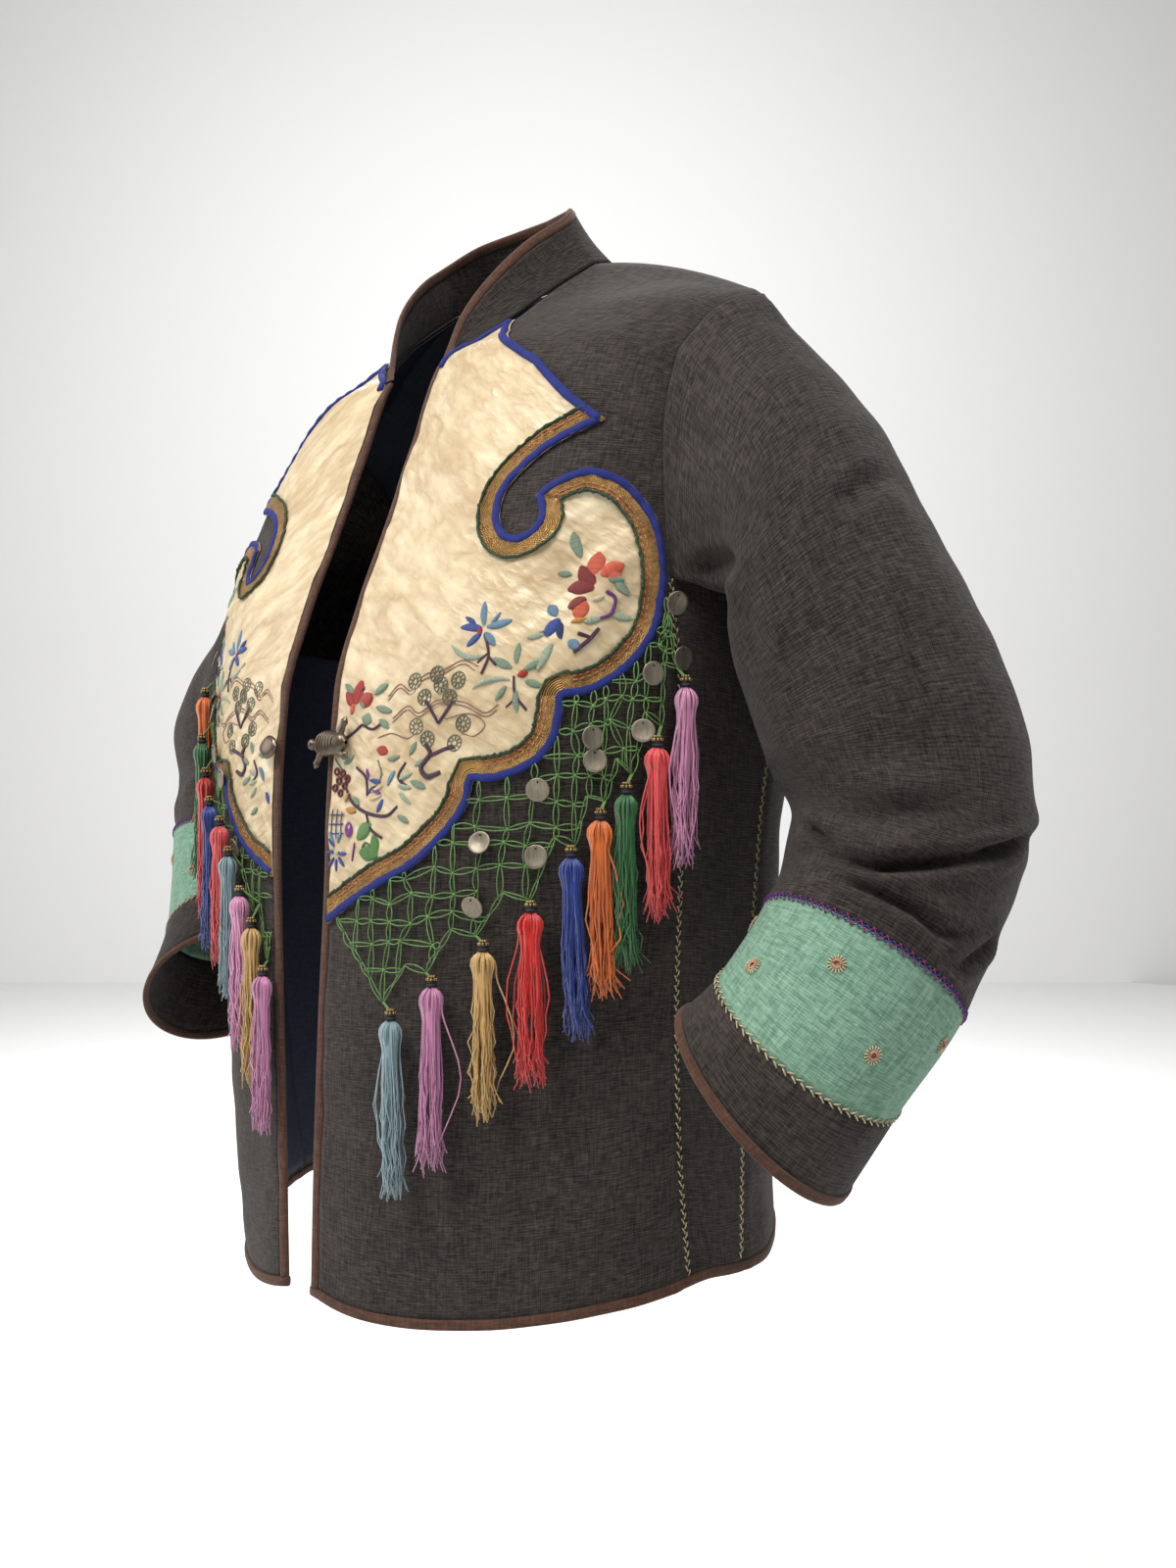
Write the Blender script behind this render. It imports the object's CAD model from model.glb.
"""Looks of the embroidered jacket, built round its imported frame.

Every cloth is a fine surface worked out from the same cutting tables as the
solids.  Metres; +Z up, the front faces -Y, the wearer's left is +X.
"""
import bpy
import numpy as np
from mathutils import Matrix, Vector
from mathutils.geometry import delaunay_2d_cdt


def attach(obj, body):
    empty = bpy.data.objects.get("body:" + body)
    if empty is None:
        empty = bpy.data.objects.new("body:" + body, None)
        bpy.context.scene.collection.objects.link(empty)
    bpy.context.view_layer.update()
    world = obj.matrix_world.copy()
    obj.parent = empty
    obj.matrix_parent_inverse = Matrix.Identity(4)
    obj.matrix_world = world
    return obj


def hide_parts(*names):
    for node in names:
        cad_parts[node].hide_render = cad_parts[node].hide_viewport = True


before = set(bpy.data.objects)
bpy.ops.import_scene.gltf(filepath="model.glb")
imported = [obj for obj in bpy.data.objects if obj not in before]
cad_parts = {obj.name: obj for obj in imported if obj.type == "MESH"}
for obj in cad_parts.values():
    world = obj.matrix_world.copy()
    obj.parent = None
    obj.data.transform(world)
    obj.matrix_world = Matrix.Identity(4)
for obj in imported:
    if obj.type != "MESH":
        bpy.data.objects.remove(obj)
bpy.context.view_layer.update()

rng = np.random.default_rng(7)

# ------------------------------------------------------------------ camera, light, floor
scene = bpy.context.scene
camera = bpy.data.objects.new("camera", bpy.data.cameras.new("camera"))
scene.collection.objects.link(camera)
scene.camera = camera
camera.data.sensor_width = 36.0
camera.data.lens = 34.47
camera.data.shift_x = 0.05
camera.data.shift_y = 0.031
camera.location = (0.6948, -0.6479, -0.3465)
camera.rotation_euler = (np.pi / 2, 0.0, np.radians(47.0))


def soft_light(name, place, aim, size, power, colour):
    """A square soft box at place, its face turned to aim."""
    lamp = bpy.data.lights.new(name, "AREA")
    lamp.shape = "SQUARE"
    lamp.size = size
    lamp.energy = power
    lamp.color = colour
    holder = bpy.data.objects.new(name, lamp)
    holder.location = place
    turn = (Vector(aim) - Vector(place)).to_track_quat("-Z", "Y")
    holder.rotation_euler = turn.to_euler()
    scene.collection.objects.link(holder)


soft_light("key_light", (0.1, -1.7, 1.75), (0.0, 0.0, -0.3), 0.9, 50.0, (1.0, 0.95, 0.88))
soft_light("side_light", (1.35, -0.5, 1.9), (0.2, 0.0, -0.3), 0.9, 25.0, (1.0, 0.96, 0.90))
soft_light("left_light", (-1.5, -1.3, 0.3), (-0.1, 0.0, -0.3), 1.2, 12.0, (1.0, 0.97, 0.93))
soft_light("back_light", (-0.3, 2.0, 1.0), (0.0, 0.0, -0.3), 1.4, 12.0, (1.0, 0.98, 0.95))
soft_light("backdrop_light", (-1.2, 1.2, 2.6), (-3.6, 3.4, 0.6), 1.6, 150.0, (1.0, 1.0, 1.0))
soft_light("floor_light", (-1.6, 1.6, 1.6), (-1.0, 1.0, -1.0), 1.6, 50.0, (1.0, 1.0, 1.0))
world = bpy.data.worlds.new("studio")
scene.world = world
world.use_nodes = True
world.node_tree.nodes["Background"].inputs["Color"].default_value = (0.95, 0.95, 0.95, 1.0)
world.node_tree.nodes["Background"].inputs["Strength"].default_value = 0.28
scene.view_settings.view_transform = "Standard"

# ------------------------------------------------------------------ cutting tables
BINDING_WIDTH = 0.006
NECK_DROP = 0.070
BACK_NECK_DROP = 0.040
ARMPIT_DROP = 0.215
HEM_DROP = 0.604
CLOTH_WALL = 0.0014
LINING_WALL = 0.0008
# the lining hangs this far inside the cloth
LINING_IN = 0.0022


def columns(names, unit_share, rows):
    """A table as a dictionary of named columns, its numbers divided by unit_share."""
    names = names.split()
    values = np.array(rows.split(), dtype=float).reshape(-1, len(names)) / unit_share
    return {name: values[:, k] for k, name in enumerate(names)}


# Left front.  in_*: seam of the front edge or neck; out_*: side or armhole seam;
# *_h*: how the cloth runs on from that seam, across the body.
FRONT = columns("drop in_x in_y in_z in_hx in_hy in_hz out_x out_y out_z out_hx out_hy out_hz", 1000, """
    0 65 10 -2 45 -2 -10 200 0 -58 40 0 -24
    17.5 60 -18 -22 46 -6 -17 198 -18 -63 40 4 -22
    35 53 -44 -43 50 -10 -14 194 -34 -72 40 12 -24
    52.5 42 -63 -60 54 -12 -8 190 -47 -86 36 22 -18
    70 28 -77 -71 60 -14 -4 187 -56 -99 32 30 -14
    120 24 -95 -120 70 -12 0 185 -64 -135 26 40 -6
    170 22 -113 -170 75 -8 0 187 -66 -177 20 48 0
    215 21 -131 -215 80 -4 0 190 -65 -217 18 55 0
    270 21 -148 -270 85 0 0 192 -60 -268 14 60 0
    350 20 -153 -350 80 0 0 188 -54 -345 12 56 0
    450 12 -152 -450 80 0 0 181 -50 -440 12 56 0
    530 6 -151 -530 74 0 -6 178 -44 -515 14 52 6
    604 2 -150 -604 70 0 -14 176.5 -35 -582 14 50 14""")
# the right shoulder is held a little lower and further back: its armhole seam in front
RIGHT_ARMHOLE = columns("drop out_x out_y out_z", 1000, """
    0 192 22 -68
    17.5 191 10 -75
    35 189 -4 -84
    52.5 186 -17 -96
    70 184 -28 -110
    120 183 -50 -142
    170 186 -62 -180
    215 190 -65 -217""")
# and behind
RIGHT_BACK_ARMHOLE = columns("drop out_x out_y out_z", 1000, """
    0 192 22 -68
    13.3 192 33 -74
    26.6 191 43 -82
    40 190 51 -93
    75 189 62 -118
    110 190 63 -145
    145 192 58 -172
    180 195 43 -198
    215 199 20 -222""")
# the right front hangs a little further from the middle: its front-edge seam
RIGHT_EDGE = columns("drop in_x", 1000, """
    70 28
    120 32
    215 37
    350 37
    530 34
    604 33""")
# Back, left half: in_* is the back neck seam and then the middle of the back.
BACK = columns("drop in_x in_y in_z in_hx in_hy in_hz out_x out_y out_z out_hx out_hy out_hz", 1000, """
    0 65 10 -2 45 -2 -10 200 0 -58 40 0 -24
    13.3 56 33 6 48 6 -18 198 14 -64 40 -4 -22
    26.6 32 49 10 60 6 -12 196 28 -76 38 -10 -24
    40 0 55 12 80 0 0 193 40 -87 34 -18 -20
    75 0 84 -40 90 0 0 190 58 -110 30 -26 -14
    110 0 106 -90 90 0 0 190 63 -140 24 -34 -6
    145 0 120 -135 90 0 0 192 58 -170 20 -40 0
    180 0 129 -180 90 0 0 195 43 -198 16 -46 0
    215 0 134 -225 90 0 0 199 20 -222 8 -55 0
    270 0 137 -275 85 0 0 198 12 -270 0 -60 0
    350 0 138 -350 85 0 0 190 8 -345 2 -56 0
    450 0 146 -440 85 0 0 184 6 -440 2 -56 0
    530 0 154 -510 85 0 0 181 5 -515 0 -58 0
    604 0 165 -570 85 0 0 180 5 -581 0 -60 0""")
# Collar, left half: finished top edge at each neck-seam point, front end to back.
COLLAR_TOP = columns("x y z", 1000, """
    30 -67 -42
    40 -53 -18
    48 -31 6
    53 -6 25
    42 10 38
    24 25 46
    0 32 49""")
# Left sleeve: centre of each round, its half-width outwards (o) and forwards (f).
SLEEVE = columns("cx cy cz ox oy oz fx fy fz", 1000, """
    234 -6 -178 13 8 60 0 -61 0
    243 -2 -218 38 0 43 0 -66 -4
    268 13 -290 56 2 20 0 -70 -3
    273 19 -323 62 3 0 2 -69 6
    278 12 -357 55 4 -8 6 -60 18
    270 -13 -410 52.8 0.8 -15.3 9 -48 29
    258.7 -42 -449 42.2 -6.6 -31.7 0 -53 12.7
    249 -61 -474 39 -10.5 -38.5 0 -53 20
    247.3 -65 -477.5 39 -10.7 -39 0 -53 21.1""")
# the right arm is bent a little higher
RIGHT_SLEEVE = columns("cx cy cz ox oy oz fx fy fz", 1000, """
    220 8 -178 8 6 54 0 -66 0
    241 6 -215 36 0 40 0 -64 -4
    280 7 -252 54 2 24 0 -68 -3
    291 6 -280 62 3 4 2 -67 6
    286 -2 -315 55 4 -4 6 -58 14
    275 -18 -355 52 0.8 -12 6 -50 16
    262 -33 -415 43 -4 -29 0 -52 12.7
    251.5 -53 -455 38 -10 -38 0 -53 16
    250 -56 -460 38 -10.5 -38.5 0 -53 16.5""")
# lower edge of the net: points where a tassel hangs and the hollows between them
NET_EDGE = columns("run drop", 1, """
    10 393
    38 425
    48 438
    61 418
    74 422
    87 399
    101 403
    115 380
    129 385
    141 352
    151 357
    157 331
    166 334
    172 312
    180 320
    187 288
    196 295
    196 262
    204 264
    193 226""")
# the right net hangs closer to its edge
RIGHT_NET_EDGE = columns("run drop", 1, """
    0 404
    5 421
    13 388
    20 394
    33 368
    44 377
    55 345
    64 354
    68 330
    76 337
    84 316
    94 325
    103 298
    113 307
    124 276
    135 284
    143 244
    153 250
    158 214""")
# the right half is set nearer its edge and a little higher, in full below this drop
RIGHT_SHIFT_RUN = 35.0
RIGHT_SHIFT_DROP = 6.0
SHIFT_FROM = 80.0
SHIFT_FULL = 160.0
# Tassels: where each hangs and its length.
TASSELS = {
    "left": columns("run drop length", 1, """
    59 442 0.098
    81 424 0.102
    108 406 0.092
    131 386 0.094
    149 358 0.098
    163 339 0.094
    175 326 0.095
    190 302 0.093
    205 270 0.096"""),
    "right": columns("run drop length", 1, """
    -2 424 0.096
    11 397 0.098
    24 379 0.096
    37 356 0.09
    50 338 0.09
    72 326 0.094
    96 308 0.094
    120 285 0.094
    140 252 0.096""")}
CLASP_DROP = 0.298

# ------------------------------------------------------------------ curves
def lengths(line):
    """How far along a line of points each of them is."""
    return np.concatenate([[0], np.cumsum(np.linalg.norm(np.diff(line, axis=0), axis=1))])


def points_at(at, knots, line):
    """A line read off at the given places, straight between its knots."""
    return np.stack([np.interp(at, knots, line[:, k]) for k in range(line.shape[1])], axis=1)


def slopes(knots, values):
    """Slope at each knot: the harmonic mean of the two steps, nought at a turn."""
    step = np.diff(values, axis=0) / np.diff(knots).reshape((-1,) + (1,) * (values.ndim - 1))
    product = step[:-1] * step[1:]
    total = step[:-1] + step[1:]
    inner = np.where(product > 0, 2 * product / np.where(total == 0, 1, total), 0.0)
    return np.concatenate([step[:1], inner, step[-1:]])


def cubic(knots, values, slope, at):
    """Cubic through the values: each span's two values and two slopes, blended."""
    at = np.atleast_1d(np.asarray(at, dtype=float))
    shape = (-1,) + (1,) * (values.ndim - 1)
    k = np.clip(np.searchsorted(knots, at, side="right") - 1, 0, len(knots) - 2)
    span = knots[k + 1] - knots[k]
    t = ((at - knots[k]) / span).reshape(shape)
    span = span.reshape(shape)
    return ((1 + 2 * t) * (1 - t) ** 2 * values[k] + t * (1 - t) ** 2 * span * slope[k]
            + t * t * (3 - 2 * t) * values[k + 1] + t * t * (t - 1) * span * slope[k + 1])


def smooth(knots, values, at):
    """Cubic through the values that never swings past them."""
    return cubic(knots, values, slopes(knots, values), at)


def flowing(knots, values, at):
    """Cubic through the values whose slope at a knot joins its two neighbours."""
    shape = (-1,) + (1,) * (values.ndim - 1)
    step = np.diff(values, axis=0) / np.diff(knots).reshape(shape)
    inner = (values[2:] - values[:-2]) / (knots[2:] - knots[:-2]).reshape(shape)
    return cubic(knots, values, np.concatenate([step[:1], inner, step[-1:]]), at)


def triple(table, stem, drops):
    """The three columns stem+x, y, z at the given drops."""
    values = np.stack([table[stem + axis] for axis in "xyz"], axis=1)
    return smooth(table["drop"], values, drops)


def across(start, lead, finish, trail, count):
    """Rows of points from start to finish, leaving along lead and arriving along trail."""
    t = np.linspace(0, 1, count + 1).reshape(1, -1, 1)
    a = start[:, None, :]
    b = (start + lead)[:, None, :]
    c = (finish - trail)[:, None, :]
    d = finish[:, None, :]
    return (1 - t) ** 3 * a + 3 * t * (1 - t) ** 2 * b + 3 * t * t * (1 - t) * c + t ** 3 * d


def with_armhole(table, armhole_seam):
    """A panel's table with another seam line down to the armpit."""
    table = dict(table)
    above = table["drop"] <= ARMPIT_DROP
    for axis in "xyz":
        values = table["out_" + axis].copy()
        values[above] = smooth(armhole_seam["drop"], armhole_seam["out_" + axis], table["drop"][above])
        table["out_" + axis] = values
    return table


def with_edge(table, edge):
    """A front's table with another front-edge seam below the neck."""
    table = dict(table)
    below = table["drop"] >= NECK_DROP
    values = table["in_x"].copy()
    values[below] = smooth(edge["drop"], edge["in_x"], table["drop"][below])
    table["in_x"] = values
    return table


def panel_lines(table, drops):
    """The four guiding lines of a panel."""
    return [triple(table, stem, drops) for stem in ("in_", "in_h", "out_", "out_h")]


# ------------------------------------------------------------------ surfaces
def unit(v):
    return v / np.maximum(np.linalg.norm(v, axis=-1, keepdims=True), 1e-12)


def grid_normals(p, turned=False):
    """Unit vector square to a grid of points: rows' direction crossed with columns'."""
    down = np.gradient(p, axis=0)
    over = np.gradient(p, axis=1)
    n = unit(np.cross(down, over))
    return -n if turned else n


def arc(p, axis):
    """Length along each line of a grid from its first point."""
    step = np.linalg.norm(np.diff(p, axis=axis), axis=-1)
    return np.concatenate([np.zeros_like(np.take(step, [0], axis)), np.cumsum(step, axis=axis)], axis)


def unevenness(p, size, seed):
    """Smooth rise and fall, about -1 to 1: seven waves of that size in scattered directions."""
    r = np.random.default_rng(seed)
    way = unit(r.normal(size=(7, 3))) * (2 * np.pi / size) * r.uniform(0.6, 1.5, (7, 1))
    phase = r.uniform(0, 2 * np.pi, 7)
    return np.sin(p @ way.T + phase).sum(axis=-1) / 3.2


def softly(x, low, high):
    """Nought below low, 1 above high, and an S-curve between."""
    t = np.clip((x - low) / (high - low), 0, 1)
    return t * t * (3 - 2 * t)


def fold(p, path, depth, width):
    """Height of a fold lying along a path: a trough with a soft lip each side,
    fading out at both ends (a ridge when depth is negative)."""
    a, d = path[:-1], np.diff(path, axis=0)
    reach = lengths(path)
    rel = p[..., None, :] - a
    t = np.clip((rel * d).sum(-1) / (d * d).sum(-1), 0, 1)
    away = np.linalg.norm(rel - t[..., None] * d, axis=-1)
    k = away.argmin(axis=-1)
    gap = np.take_along_axis(away, k[..., None], -1)[..., 0] / width
    along = (reach[k] + np.take_along_axis(t, k[..., None], -1)[..., 0] * (reach[k + 1] - reach[k]))
    along = along / reach[-1]
    fade = softly(along, -0.02, 0.35) * softly(-along, -1.02, -0.65)
    return -depth * fade * (np.exp(-gap ** 2) - 0.42 * np.exp(-((gap - 2.0) / 1.1) ** 2))


def add_mesh(name, points, faces, cloth, uv=None, smooth_shaded=True):
    """A mesh object from an array of points and an array of faces, uv given for each point."""
    mesh = bpy.data.meshes.new(name)
    faces = np.asarray(faces, dtype=np.int32)
    count, sides = faces.shape
    mesh.vertices.add(len(points))
    mesh.vertices.foreach_set("co", np.asarray(points, dtype=np.float32).ravel())
    mesh.loops.add(count * sides)
    mesh.loops.foreach_set("vertex_index", faces.ravel())
    mesh.polygons.add(count)
    mesh.polygons.foreach_set("loop_start", np.arange(0, count * sides, sides, dtype=np.int32))
    mesh.polygons.foreach_set("loop_total", np.full(count, sides, dtype=np.int32))
    mesh.polygons.foreach_set("use_smooth", np.full(count, smooth_shaded))
    if uv is not None:
        layer = mesh.uv_layers.new(name="cloth")
        layer.data.foreach_set("uv", np.asarray(uv, dtype=np.float32)[faces.ravel()].ravel())
    mesh.update()
    mesh.validate()
    mesh.materials.append(cloth)
    thing = bpy.data.objects.new(name, mesh)
    scene.collection.objects.link(thing)
    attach(thing, "root")
    return thing


def turning(sides):
    """Cosine and sine of evenly spaced turns, ready to weigh two directions."""
    turn = 2 * np.pi * np.arange(sides) / sides
    return np.cos(turn)[:, None], np.sin(turn)[:, None]


def grid_faces(rows, cols, closed=False, turned=False):
    """Four-sided cells of a grid of points, joined round when closed."""
    i = np.arange(rows - 1)[:, None]
    j = np.arange(cols if closed else cols - 1)[None, :]
    k = (j + 1) % cols
    a, b, c, d = i * cols + j, i * cols + k, (i + 1) * cols + k, (i + 1) * cols + j
    f = np.stack(np.broadcast_arrays(a, d, c, b), axis=-1).reshape(-1, 4)
    return f[:, ::-1] if turned else f


def walled(thing, wall):
    """Give a surface a wall of that thickness inwards."""
    solid = thing.modifiers.new("wall", "SOLIDIFY")
    solid.thickness = wall
    solid.offset = -1.0
    return thing


def stands_for(node):
    """Say which node a piece replaces, its slot and, for hung cloth, its flat size."""
    if node:
        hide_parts(node)


def shell(name, p, cloth, wall, turned=False, uv=None):
    """A sheet of cloth on a grid of points, given its wall inwards."""
    if uv is None:
        uv = np.stack([arc(p, 1), -arc(p, 0)], axis=-1)
    faces = grid_faces(p.shape[0], p.shape[1], turned=turned)
    return walled(add_mesh(name, p.reshape(-1, 3), faces, cloth, uv.reshape(-1, 2)), wall)


def mirror(p):
    return p * np.array([-1.0, 1.0, 1.0])


# ------------------------------------------------------------------ panels
ROWS = 200
COLS = 64
DROPS = np.linspace(0, HEM_DROP, ROWS)
BACK_DROPS = np.concatenate([np.linspace(0, BACK_NECK_DROP, 20)[:-1],
                             np.linspace(BACK_NECK_DROP, HEM_DROP, ROWS - 19)])
SIDES = ("left", "right")
TABLES = {"left": (FRONT, BACK, SLEEVE),
          "right": (with_edge(with_armhole(FRONT, RIGHT_ARMHOLE), RIGHT_EDGE),
                    with_armhole(BACK, RIGHT_BACK_ARMHOLE), RIGHT_SLEEVE)}


def folded(p, n, folds, fade, seams=()):
    """A grid moved along its normals by its folds, by a slight unevenness and by a narrow
    valley beside each edge named in seams."""
    lift = 0.0011 * unevenness(p, 0.11, 3) + 0.0006 * unevenness(p, 0.045, 4)
    for path, depth, width in folds:
        lift = lift + fold(p, path, depth / 1000, width / 1000)
    lift = lift * fade
    over, down = arc(p, 1), arc(p, 0)
    gaps = {"left": over, "right": over[:, -1:] - over, "top": down, "bottom": down[-1:] - down}
    for name in seams:
        edge = 1 - np.exp(-(gaps[name] / 0.0012) ** 2)
        lift = lift - 0.0007 * edge * np.exp(-(gaps[name] / 0.0034) ** 2)
        lift = lift + 0.0004 * edge * np.exp(-((gaps[name] - 0.008) / 0.003) ** 2)
    return p + lift[..., None] * n


def edge_fade(rows, cols, top, right, bottom, left, reach=0.06):
    """1 inside a grid, falling to nought at the edges that are joined to others."""
    v = np.linspace(0, 1, rows)[:, None]
    u = np.linspace(0, 1, cols)[None, :]
    out = np.ones((rows, cols))
    for wanted, d in ((top, v), (bottom, 1 - v), (left, u), (right, 1 - u)):
        if wanted:
            out = out * softly(d + 0 * out, 0.0, reach)
    return out


def creases(rows):
    """Folds parted by semicolons, in mm: depth (below nought for a ridge), half-width, and
    the points it passes through."""
    rows = [np.array(row.split(), dtype=float) for row in rows.split(";")]
    return [(row[2:].reshape(-1, 3) / 1000, row[0], row[1]) for row in rows]


FRONT_CREASES = creases("""
    2.6 12  190 -62 -170  168 -100 -195  150 -128 -245;
    -1.8 11  182 -85 -200  170 -112 -240  160 -125 -300;
    -2.2 20  98 -155 -360  104 -152 -460  108 -150 -580;
    1.4 16  60 -155 -400  62 -155 -480  60 -152 -590;
    1.8 15  140 -120 -420  146 -115 -500  150 -110 -580;
    1.6 6  80 -148 -572  98 -146 -580  112 -140 -574""")
BACK_CREASES = creases("""
    3 13  186 58 -150  135 108 -190  85 132 -260;
    -2 13  180 40 -200  140 100 -260  110 120 -340;
    -2.6 24  50 120 -150  45 140 -320  55 160 -540;
    2.8 20  110 110 -330  105 120 -450  112 135 -570;
    1.8 18  0 130 -250  5 145 -400  0 160 -560""")
SLEEVE_CREASES = creases("""
    10.5 3.4  255.5 -46.1 -352.1  285.5 -54 -359  301.2 -49.7 -362.5  320.8 -30.5 -360.5
        334.5 8 -355  335 32 -350  320 60 -347;
    7.5 3  252 -45.2 -339  275.1 -51.9 -349.1  289 -53 -357;
    9 3.4  264 -53 -362  301.1 -51.6 -372.6  317.5 -40.4 -382.5  325 -30 -393  329 -5 -396;
    5 3.8  320 -35 -399  326.1 -16.7 -410.1  327 13 -399  318 34 -392;
    2.8 2  289 -27 -206  301.6 -28.7 -240.2  310.6 -28.5 -271.9  318 -24 -304;
    5 5.5  195.4 -62.5 -217.7  212.6 -59.6 -213.2  240 -69.9 -214.3;
    2.6 8  235.7 -67.7 -228  241.1 -65.3 -250.8  245 -62.3 -272;
    3.6 6  274.9 4.1 -164.5  277.3 -24.9 -179.1  274.6 -44.6 -196;
    1.8 9  259.4 -63.9 -247.9  272.8 -58 -277.8  281.7 -52.8 -304.3;
    -2.8 8  280 -56 -320  305 -43 -326  328 -15 -322;
    -4 6  270 -56 -346  302 -50 -350  332 -10 -343;
    -2.4 5  285 -56 -373  312 -45 -385  323 -30 -399;
    5 6  330 30 -354  305 76 -346  265 86 -338;
    3.6 6  318 48 -380  290 64 -388  250 60 -390;
    2.6 9  305 60 -300  270 82 -285  235 76 -275;
    2.4 9  235 60 -200  250 64 -235  260 70 -275""")


def other_side(found, raised):
    """The same folds on the wearer's right, that much higher."""
    return [(mirror(path) + (0, 0, raised), depth, width) for path, depth, width in found]


BODY_FOLDS = {"left": FRONT_CREASES, "right": other_side(FRONT_CREASES, 0.0),
              "back": BACK_CREASES + other_side(BACK_CREASES[:4], -0.012)}
SLEEVE_FOLDS = {"left": SLEEVE_CREASES, "right": other_side(SLEEVE_CREASES, 0.042)}

PANEL = {}
for side in SIDES:
    front_table, back_table, _ = TABLES[side]
    lines = panel_lines(front_table, DROPS)
    p = across(*lines, COLS)
    n = grid_normals(p)
    fade = edge_fade(ROWS, COLS + 1, True, True, False, False)
    raw_front = p
    p = folded(p if side == "left" else mirror(p), n if side == "left" else mirror(n),
               BODY_FOLDS[side], fade, ("right", "top"))
    low = np.concatenate([[ARMPIT_DROP], DROPS[DROPS > ARMPIT_DROP + 1e-6]])
    strip = across(triple(front_table, "out_", low), 0.35 * triple(front_table, "out_h", low),
                   triple(back_table, "out_", low), -0.35 * triple(back_table, "out_h", low), 20)
    back = across(*panel_lines(back_table, BACK_DROPS), COLS)
    seam = triple(front_table, "in_", DROPS)
    lead = unit(triple(front_table, "in_h", DROPS))
    PANEL[side] = {"front": p, "raw_front": raw_front, "strip": strip, "back": back,
                   "seam": seam, "edge": seam - BINDING_WIDTH * lead}

# ------------------------------------------------------------------ materials
def srgb(*values):
    """Linear colour of an everyday 0-255 one."""
    c = np.array(values) / 255
    return tuple(float(x) for x in np.where(c < 0.04045, c / 12.92, ((c + 0.055) / 1.055) ** 2.4))


def add_node(tree, kind, inputs=(), **settings):
    """A node with its settings, its inputs given as (name or number, value or socket)."""
    made = tree.nodes.new(kind)
    for key, value in settings.items():
        setattr(made, key, value)
    for key, value in dict(inputs).items():
        if isinstance(value, bpy.types.NodeSocket):
            tree.links.new(value, made.inputs[key])
        else:
            made.inputs[key].default_value = value
    return made


def sum_of(tree, operation, *values):
    """The output of a sum node on the values."""
    return add_node(tree, "ShaderNodeMath", enumerate(values), operation=operation).outputs[0]


def layered(tree, base, *layers):
    """A base value with further ones added, each given as (value, weight)."""
    for value, weight in layers:
        base = sum_of(tree, "MULTIPLY_ADD", value, weight, base)
    return base


def new_group(name, *inputs):
    """A node group from a place on a surface, and the inputs given, to a shade and a normal."""
    tree = bpy.data.node_groups.new(name, "ShaderNodeTree")
    tree.interface.new_socket(name="Place", in_out="INPUT", socket_type="NodeSocketVector")
    for title, value in inputs:
        socket = tree.interface.new_socket(name=title, in_out="INPUT", socket_type="NodeSocketFloat")
        socket.default_value = value
    tree.interface.new_socket(name="Shade", in_out="OUTPUT", socket_type="NodeSocketFloat")
    tree.interface.new_socket(name="Normal", in_out="OUTPUT", socket_type="NodeSocketVector")
    given = tree.nodes.new("NodeGroupInput").outputs
    split = add_node(tree, "ShaderNodeSeparateXYZ", {0: given["Place"]}).outputs
    return tree, given, given["Place"], split


def ended(tree, shade, height, distance, strength):
    """The group with its shade, and its height as bumps that far at most, put out."""
    bump = add_node(tree, "ShaderNodeBump", {"Height": height, "Distance": distance,
                                             "Strength": strength})
    add_node(tree, "NodeGroupOutput", {"Shade": shade, "Normal": bump.outputs[0]})
    return tree


def streaks(tree, place, across, along, detail=2.0):
    """Noise drawn out: across and along are how many blotches lie in a metre each way."""
    scaled = add_node(tree, "ShaderNodeVectorMath", {0: place, 1: (across, along, 1.0)},
                      operation="MULTIPLY")
    return add_node(tree, "ShaderNodeTexNoise", {"Vector": scaled.outputs[0], "Scale": 1.0,
                                                 "Detail": detail, "Roughness": 0.6}).outputs[0]


def ridges(tree, turn):
    """Evenly spaced ridges 0 to 1: half the sine of a turn, and a half."""
    return sum_of(tree, "MULTIPLY_ADD", sum_of(tree, "SINE", turn, 0.0), 0.5, 0.5)


def ripples(tree, value, pitch, push):
    """Ridges along a value at that pitch, pushed about by another value."""
    return ridges(tree, sum_of(tree, "MULTIPLY_ADD", value, 2 * np.pi / pitch, push))


def rows_of(tree, value, pitch, push):
    """Ridges along a value at a pitch that is itself a socket."""
    turn = sum_of(tree, "DIVIDE", value, pitch)
    return ridges(tree, sum_of(tree, "MULTIPLY_ADD", turn, 2 * np.pi, push))


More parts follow.
